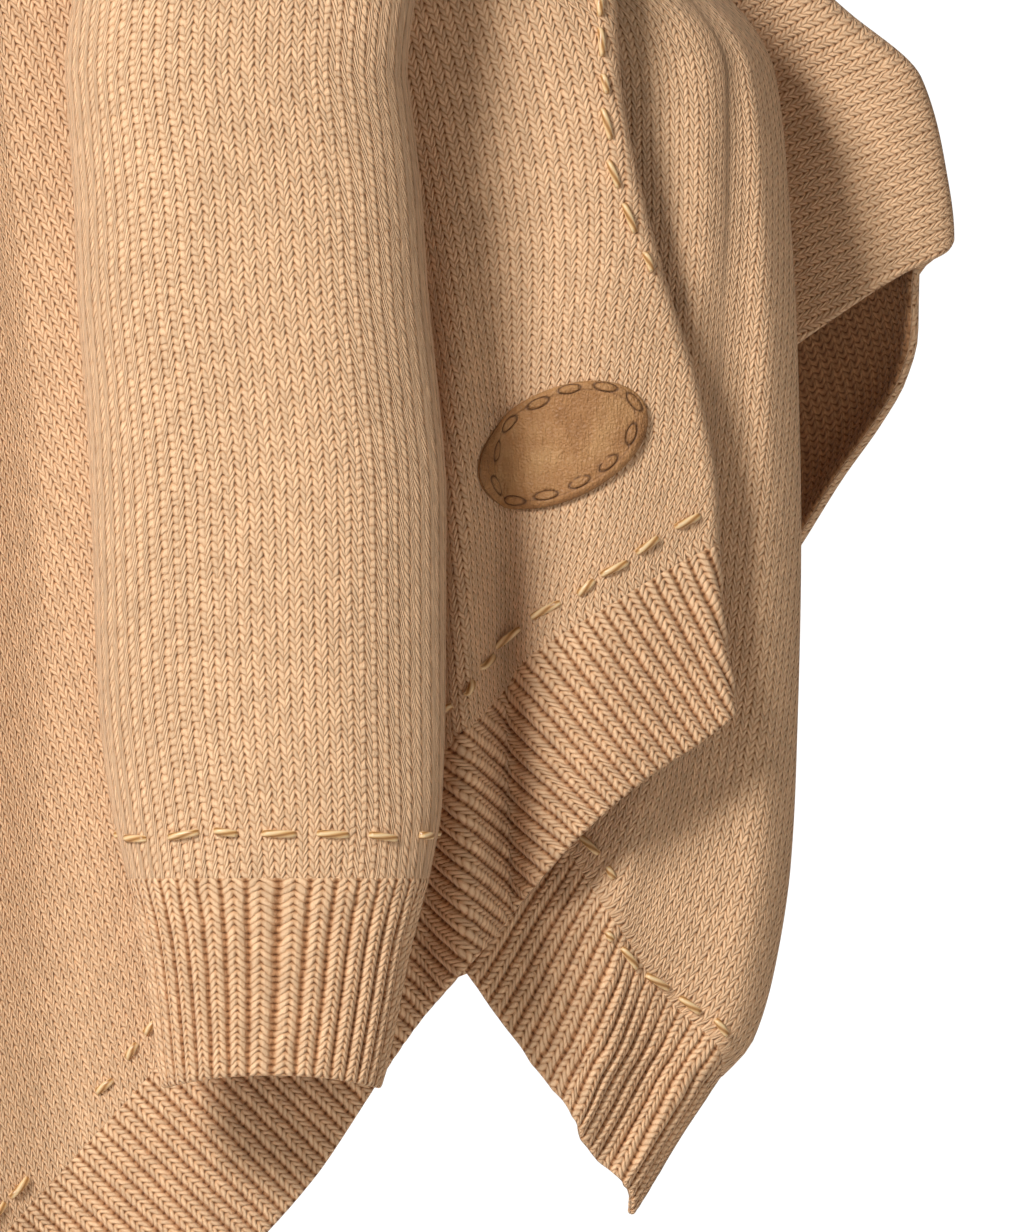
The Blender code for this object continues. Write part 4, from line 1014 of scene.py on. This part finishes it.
def slot_press(across, height):
    """Shares by which the leather is pressed in round each stitch slot, and plump inside it.

    The first is exp(-d^2), with d the distance to an oval's outline, and the second eases up inside it.
    """
    reach, level, half_long, half_wide = LABEL
    pressed = np.zeros(across.shape)
    plump = np.zeros(across.shape)
    for px, py in SLOTS:
        x, z = photo_place(px, py)
        turned = (x - reach) * math.cos(LABEL_TILT) + (z - level) * math.sin(LABEL_TILT)
        over = (z - level) * math.cos(LABEL_TILT) - (x - reach) * math.sin(LABEL_TILT)
        tangent = math.atan2(turned / half_long**2, -over / half_wide**2) + LABEL_TILT
        along = (across - x) * math.cos(tangent) + (height - z) * math.sin(tangent)
        side = (height - z) * math.cos(tangent) - (across - x) * math.sin(tangent)
        outline = (np.hypot(along / SLOT_HALF_LENGTH, side / SLOT_HALF_WIDTH) - 1) * 2.2
        pressed = np.maximum(pressed, np.exp(-((outline / 0.30) ** 2)))
        plump = np.maximum(plump, ease(-outline / 1.1))
    return pressed, plump


def make_label(material):
    """The oval leather patch: a domed disc on the front panel with a rounded rim and pressed slots."""
    reach, level, half_long, half_wide = LABEL
    angle = np.linspace(0, 2 * math.pi, 320, endpoint=False)[None]
    share = [np.linspace(0.02, 0.72, 22)[:-1], np.linspace(0.72, 0.95, 30)[:-1], np.linspace(0.95, 1, 8)]
    share = np.concatenate(share)[:, None]
    along, over = half_long * share * np.cos(angle), half_wide * share * np.sin(angle)
    across = reach + along * math.cos(LABEL_TILT) - over * math.sin(LABEL_TILT)
    height = level + along * math.sin(LABEL_TILT) + over * math.cos(LABEL_TILT)
    under = front_surface(across, height)
    normal = front_normal(across, height)
    pressed, plump = slot_press(across, height)
    scored = np.exp(-(((share - 0.86) / 0.012) ** 2)) * 0.4 * (1 - plump)
    rounded = np.sqrt(np.clip(1 - np.clip((share - 0.915) / 0.085, 0, 1) ** 2, 0, 1))
    border = np.exp(-(((share - 0.9) / 0.05) ** 2))
    thick = LABEL_THICKNESS * (0.3 + 0.7 * rounded) + 0.4 * plump + 0.35 * border
    thick = thick - 0.5 * pressed - 0.2 * scored
    thick = thick + 0.12 * np.sin(along * 0.5 + over * 0.35) * (1 - share)
    foot = under + normal * (WALL / 2 + 0.4)
    outer = foot + normal * thick[..., None]
    rows, columns = len(share), angle.shape[1]
    size = rows * columns
    corner = grid_quads(rows - 1, columns, columns)[:, [0, 3, 2, 1]]
    edge = size - columns + grid_quads(1, columns, columns)[:, :2]
    rim = np.concatenate([edge[:, ::-1], edge + size], axis=1)
    cap = cap_quads(columns)[:, ::-1]
    quads = np.concatenate([corner, corner[:, ::-1] + size, rim[:, ::-1], cap[:, ::-1], cap + size])
    points = np.concatenate([outer.reshape(-1, 3), foot.reshape(-1, 3)])
    flat = np.stack([across, height], axis=-1).reshape(-1, 2)
    uv = np.concatenate([flat, flat])[quads]
    piece = mesh_object("oval_label", points, quads, uv, [material])
    # The pressed grooves and the scored ring are stored for the leather's painted shade.
    groove_shade_marks = piece.data.attributes.new("pressed", "FLOAT", "POINT")
    top = np.clip(pressed + scored, 0, 1).ravel()
    groove_shade_marks.data.foreach_set("value", np.concatenate([top, 0 * top]).astype(np.float32))
    return piece


def photo_place(px, py):
    """Reach and height in the garment's plane of a pixel of the photograph."""
    reach = PIXEL_REACH + (px - PIXEL_ACROSS) / PIXELS_PER_MM
    return reach, PIXEL_HEIGHT + (PIXEL_DOWN - py) / PIXELS_PER_MM


def stitch_mesh(name, starts, ends, outs, material):
    """Running stitches: each a round cord from start to end, thinner where it dives into the cloth.

    Its lift and radius grow with sin(pi t)^0.3, t being the share of the way. starts, ends and outs hold
    one row a stitch, outs being the cloth's normal there.
    """
    t = np.linspace(0, 1, STITCH_ROWS)
    turn = np.linspace(0, 2 * math.pi, STITCH_SIDES, endpoint=False)
    way = ends - starts
    long = np.linalg.norm(way, axis=1, keepdims=True)
    way = way / long
    outs = outs - way * np.sum(outs * way, axis=1, keepdims=True)
    outs = outs / np.linalg.norm(outs, axis=1, keepdims=True)
    side = np.cross(way, outs)
    lift = WALL / 2 - 0.6 + 1.7 * np.sin(math.pi * t) ** 0.3
    centre = starts[:, None] + (way * long)[:, None] * t[None, :, None]
    centre = centre + outs[:, None] * lift[None, :, None]
    radius = STITCH_RADIUS * (0.65 + 0.35 * np.sin(math.pi * np.clip(t, 0.001, 0.999)) ** 0.3)
    spoke = outs[:, None] * np.cos(turn)[None, :, None] + side[:, None] * np.sin(turn)[None, :, None]
    points = centre[:, :, None] + spoke[:, None] * radius[None, :, None, None]
    size = STITCH_ROWS * STITCH_SIDES
    cap = cap_quads(STITCH_SIDES)
    tube = grid_quads(STITCH_ROWS - 1, STITCH_SIDES, STITCH_SIDES)
    one = np.concatenate([tube, cap[:, ::-1], cap + size - STITCH_SIDES])
    place = grid_quads(STITCH_ROWS - 1, STITCH_SIDES, STITCH_SIDES + 1)
    row, side = np.divmod(place, STITCH_SIDES + 1)
    uv = np.stack([side / STITCH_SIDES, row / (STITCH_ROWS - 1)], -1)
    uv = np.concatenate([uv, np.zeros((2 * len(cap), 4, 2))])
    quads = (one[None] + size * np.arange(len(starts))[:, None, None]).reshape(-1, 4)
    uv = np.tile(uv, (len(starts), 1, 1))
    points = points.reshape(-1, 3)
    a, b, d = (points[quads[0, n]] for n in (0, 1, 3))
    if np.dot(np.cross(b - a, d - a), a - centre[0, 0]) < 0:
        quads, uv = quads[:, ::-1], uv[:, ::-1]
    return mesh_object(name, points, quads, uv, [material])


def on_surface(surface, normal, pairs):
    """Start, end and normal of stitches whose ends are given on a piece's pattern."""
    pairs = np.asarray(pairs, float)
    start = surface(pairs[:, 0], pairs[:, 1])
    end = surface(pairs[:, 2], pairs[:, 3])
    middle = (pairs[:, :2] + pairs[:, 2:]) / 2
    return start, end, normal(middle[:, 0], middle[:, 1])


def in_photo(stitches):
    """Start and end of stitches in the garment's plane."""
    return [photo_place(a, b) + photo_place(c, d) for a, b, c, d in stitches]


def along_line(surface, place, start, end, seed=3):
    """Evenly spaced pairs along a line, each a little off in place and length, as hand stitching is.

    place gives the line's point on the surface's pattern at a value from start to end.
    """
    fine = np.linspace(start, end, 400)
    walked = lengths(surface(*place(fine)), 0)
    count = max(1, int(walked[-1] / STITCH_PITCH))
    chance = np.random.default_rng(seed)
    begin = (np.arange(count) + 0.2) * walked[-1] / count + chance.uniform(-1.2, 1.2, count)
    finish = begin + STITCH_LENGTH + chance.uniform(-2.0, 1.5, count)
    keep = finish < walked[-1] - 1
    begin, finish = (np.interp(at[keep], walked, fine) for at in (begin, finish))
    return [place(a) + place(b) for a, b in zip(begin, finish)]


def both_sides(name, left, material):
    """Stitches on the left of the garment, and their mirror image on its right."""
    mirrored = [part * np.array([-1.0, 1.0, 1.0]) for part in left]
    return stitch_mesh(name, *(np.concatenate(pair) for pair in zip(left, mirrored)), material)


def side_along(places):
    """Plan position on the side panel's outer face of points given as reach and height."""
    found = []
    keys = np.linspace(8.0, 13.0, 400)
    for x, z in places:
        reach = side_surface(keys, np.full(400, z))[:, 0]
        found.append(float(np.interp(-x, -reach, keys)))
    return found


def front_stitches(material):
    """Along the hem and the free edges, the left side's as in the photograph, the right its image."""
    pairs = in_photo(HEM_STITCHES) + in_photo(EDGE_STITCHES)

    def hem(reach):
        return reach, front_foot(reach) + HEM_LINE_ABOVE

    def edge(height):
        return side_reach(height) - EDGE_LINE_IN, height

    pairs += along_line(front_surface, hem, 2, 118)
    pairs += along_line(front_surface, hem, 160, 250, seed=5)
    pairs += along_line(front_surface, edge, -152, -258, seed=7)
    return both_sides("front_stitches", on_surface(front_surface, front_normal, pairs), material)


def side_stitches(material):
    """Above the side panel's band, as in the photograph."""
    shown = in_photo(SIDE_STITCHES)
    starts = side_along([(pair[0], pair[1]) for pair in shown])
    ends = side_along([(pair[2], pair[3]) for pair in shown])
    pairs = [(a, pair[1], b, pair[3]) for a, b, pair in zip(starts, ends, shown)]
    return both_sides("side_stitches", on_surface(side_surface, side_normal, pairs), material)


def back_stitches(material):
    """Above the back panel's band."""

    def hem(share):
        return share, back_foot(share) + HEM_LINE_ABOVE

    pairs = along_line(back_surface, hem, 0.01, 0.96, seed=11)
    return both_sides("back_stitches", on_surface(back_surface, back_normal, pairs), material)


def cuff_stitches(material):
    """A row round each sleeve above its cuff: the front ones as in the photograph, the rest like them."""
    left, right = (float(smooth(SLEEVE, CUFF_LINE, column)) for column in (1, 2))
    middle, half = (left + right) / 2, (right - left) / 2

    def turn(x):
        share = np.clip((x - middle) / half, -0.97, 0.97)
        return math.acos(np.sign(share) * abs(share) ** (SLEEVE_SQUARE / 2))

    pairs = [(turn(x0), z0, turn(x1), z1) for x0, z0, x1, z1 in in_photo(CUFF_STITCHES)]
    step = math.pi / 8
    pairs += [(-(n + 0.25) * step, CUFF_LINE, -(n + 0.8) * step, CUFF_LINE - 0.5) for n in range(8)]
    a, start, b, end = np.array(pairs).T
    t = (a + b) / 2
    outs = np.stack([np.cos(t), -2.2 * np.sin(t), 0 * t], axis=1)
    left = [sleeve_ring(SLEEVE, a, start), sleeve_ring(SLEEVE, b, end), outs]
    return both_sides("cuff_stitches", left, material)


def area_light(name, place, aim, size, power, colour):
    """A round soft lamp, turned towards its aim."""
    lamp = bpy.data.lights.new(name, "AREA")
    lamp.shape = "DISK"
    lamp.size = size
    lamp.energy = power
    lamp.color = srgb(colour)[:3]
    made = bpy.data.objects.new(name, lamp)
    made.location = place
    way = np.array(aim, float) - np.array(place, float)
    flat = math.hypot(way[0], way[1])
    made.rotation_euler = (math.atan2(flat, -way[2]), 0.0, math.atan2(-way[0], way[1]))
    bpy.context.scene.collection.objects.link(made)


def make_camera():
    """Level, straight on, far off with a long lens, so that the photograph's scale holds."""
    x, z = photo_place(PHOTO_WIDE / 2, PHOTO_HIGH / 2)
    data = bpy.data.cameras.new("photo_camera")
    data.sensor_fit = "VERTICAL"
    data.sensor_height = 36.0
    data.lens = data.sensor_height * CAMERA_AWAY / (PHOTO_HIGH / PIXELS_PER_MM)
    data.clip_end = 100.0
    camera = bpy.data.objects.new("photo_camera", data)
    camera.location = (x * 0.001, (CAMERA_PLANE - CAMERA_AWAY) * 0.001, z * 0.001)
    camera.rotation_euler = (math.radians(90), 0, 0)
    bpy.context.scene.collection.objects.link(camera)
    bpy.context.scene.camera = camera


def make_studio():
    """A pale floor well below, a white band of sky at eye level, and three lamps."""
    mesh = bpy.data.meshes.new("floor")
    corners = ((-2.4, -2.4), (2.4, -2.4), (2.4, 2.4), (-2.4, 2.4))
    mesh.from_pydata([corner + (FLOOR_LEVEL,) for corner in corners], [], [(0, 1, 2, 3)])
    floor = bpy.data.objects.new("floor", mesh)
    bpy.context.scene.collection.objects.link(floor)
    matt = new_material("matt white floor")
    looks = {"Base Color": srgb("#F2F1EF"), "Roughness": 0.9}
    shader = add(matt.node_tree, "ShaderNodeBsdfPrincipled", looks)
    add(matt.node_tree, "ShaderNodeOutputMaterial", {0: shader})
    mesh.materials.append(matt)
    world = bpy.data.worlds.new("studio")
    bpy.context.scene.world = world
    world.use_nodes = True
    tree = world.node_tree
    tree.nodes.clear()
    up = add(tree, "ShaderNodeSeparateXYZ", {0: add(tree, "ShaderNodeTexCoord").outputs["Generated"]})
    rise = add(tree, "ShaderNodeMath", {0: up.outputs[2]}, operation="ABSOLUTE")
    level = add(tree, "ShaderNodeMapRange", {0: rise, 1: 0.05, 2: 0.11, 3: 1.1, 4: SKY_LIGHT})
    share = add(tree, "ShaderNodeMapRange", {0: rise, 1: 0.05, 2: 0.11, 3: 0.0, 4: 1.0})
    warm = add(tree, "ShaderNodeValToRGB", {0: share})
    paint_ramp(warm, ((0.0, "#FFFFFF"), (1.0, "#F5DCC4")))
    light = add(tree, "ShaderNodeBackground", {0: warm, 1: level})
    add(tree, "ShaderNodeOutputWorld", {0: light})
    for lamp in LAMPS:
        area_light(*lamp)


def main():
    bpy.context.scene.view_settings.view_transform = "Standard"
    make_camera()
    make_studio()
    face = wool("camel wool stockinette knit", "face", WOOL_FACE)
    purl = wool("camel wool reverse knit", "purl", WOOL_PURL)
    rib = wool("camel wool rib knit", "rib", WOOL_RIB)
    cord = silk("golden silk cord")
    cloth = [face, purl]
    front = make_front(cloth)
    front_band = make_front_hem([rib])
    back = make_back(cloth)
    back_band = make_back_hem([rib])
    sides = make_side(cloth)
    side_bands = make_side_hem([rib])
    sleeves = make_sleeve(cloth)
    cuffs = make_cuff([rib])
    neckband = make_neckband([rib])
    label = make_label(leather("vegetable tanned leather"))
    stitches = [front_stitches(cord), side_stitches(cord), back_stitches(cord), cuff_stitches(cord)]

    stands_for = (
        (front, "front_panel"), (front_band, "front_hem_rib"), (back, "back_panel"),
        (back_band, "back_hem_rib"), (sides[0], "side_panel_left"), (sides[1], "side_panel_right"),
        (side_bands[0], "side_hem_rib_left"), (side_bands[1], "side_hem_rib_right"),
        (sleeves[0], "sleeve_left"), (sleeves[1], "sleeve_right"), (cuffs[0], "cuff_left"),
        (cuffs[1], "cuff_right"), (neckband, "neckband"), (label, "label"),
    )
    for piece, node in stands_for:
        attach(piece, "root")
        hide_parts(node)
    for piece in stitches:
        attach(piece, "root")


main()
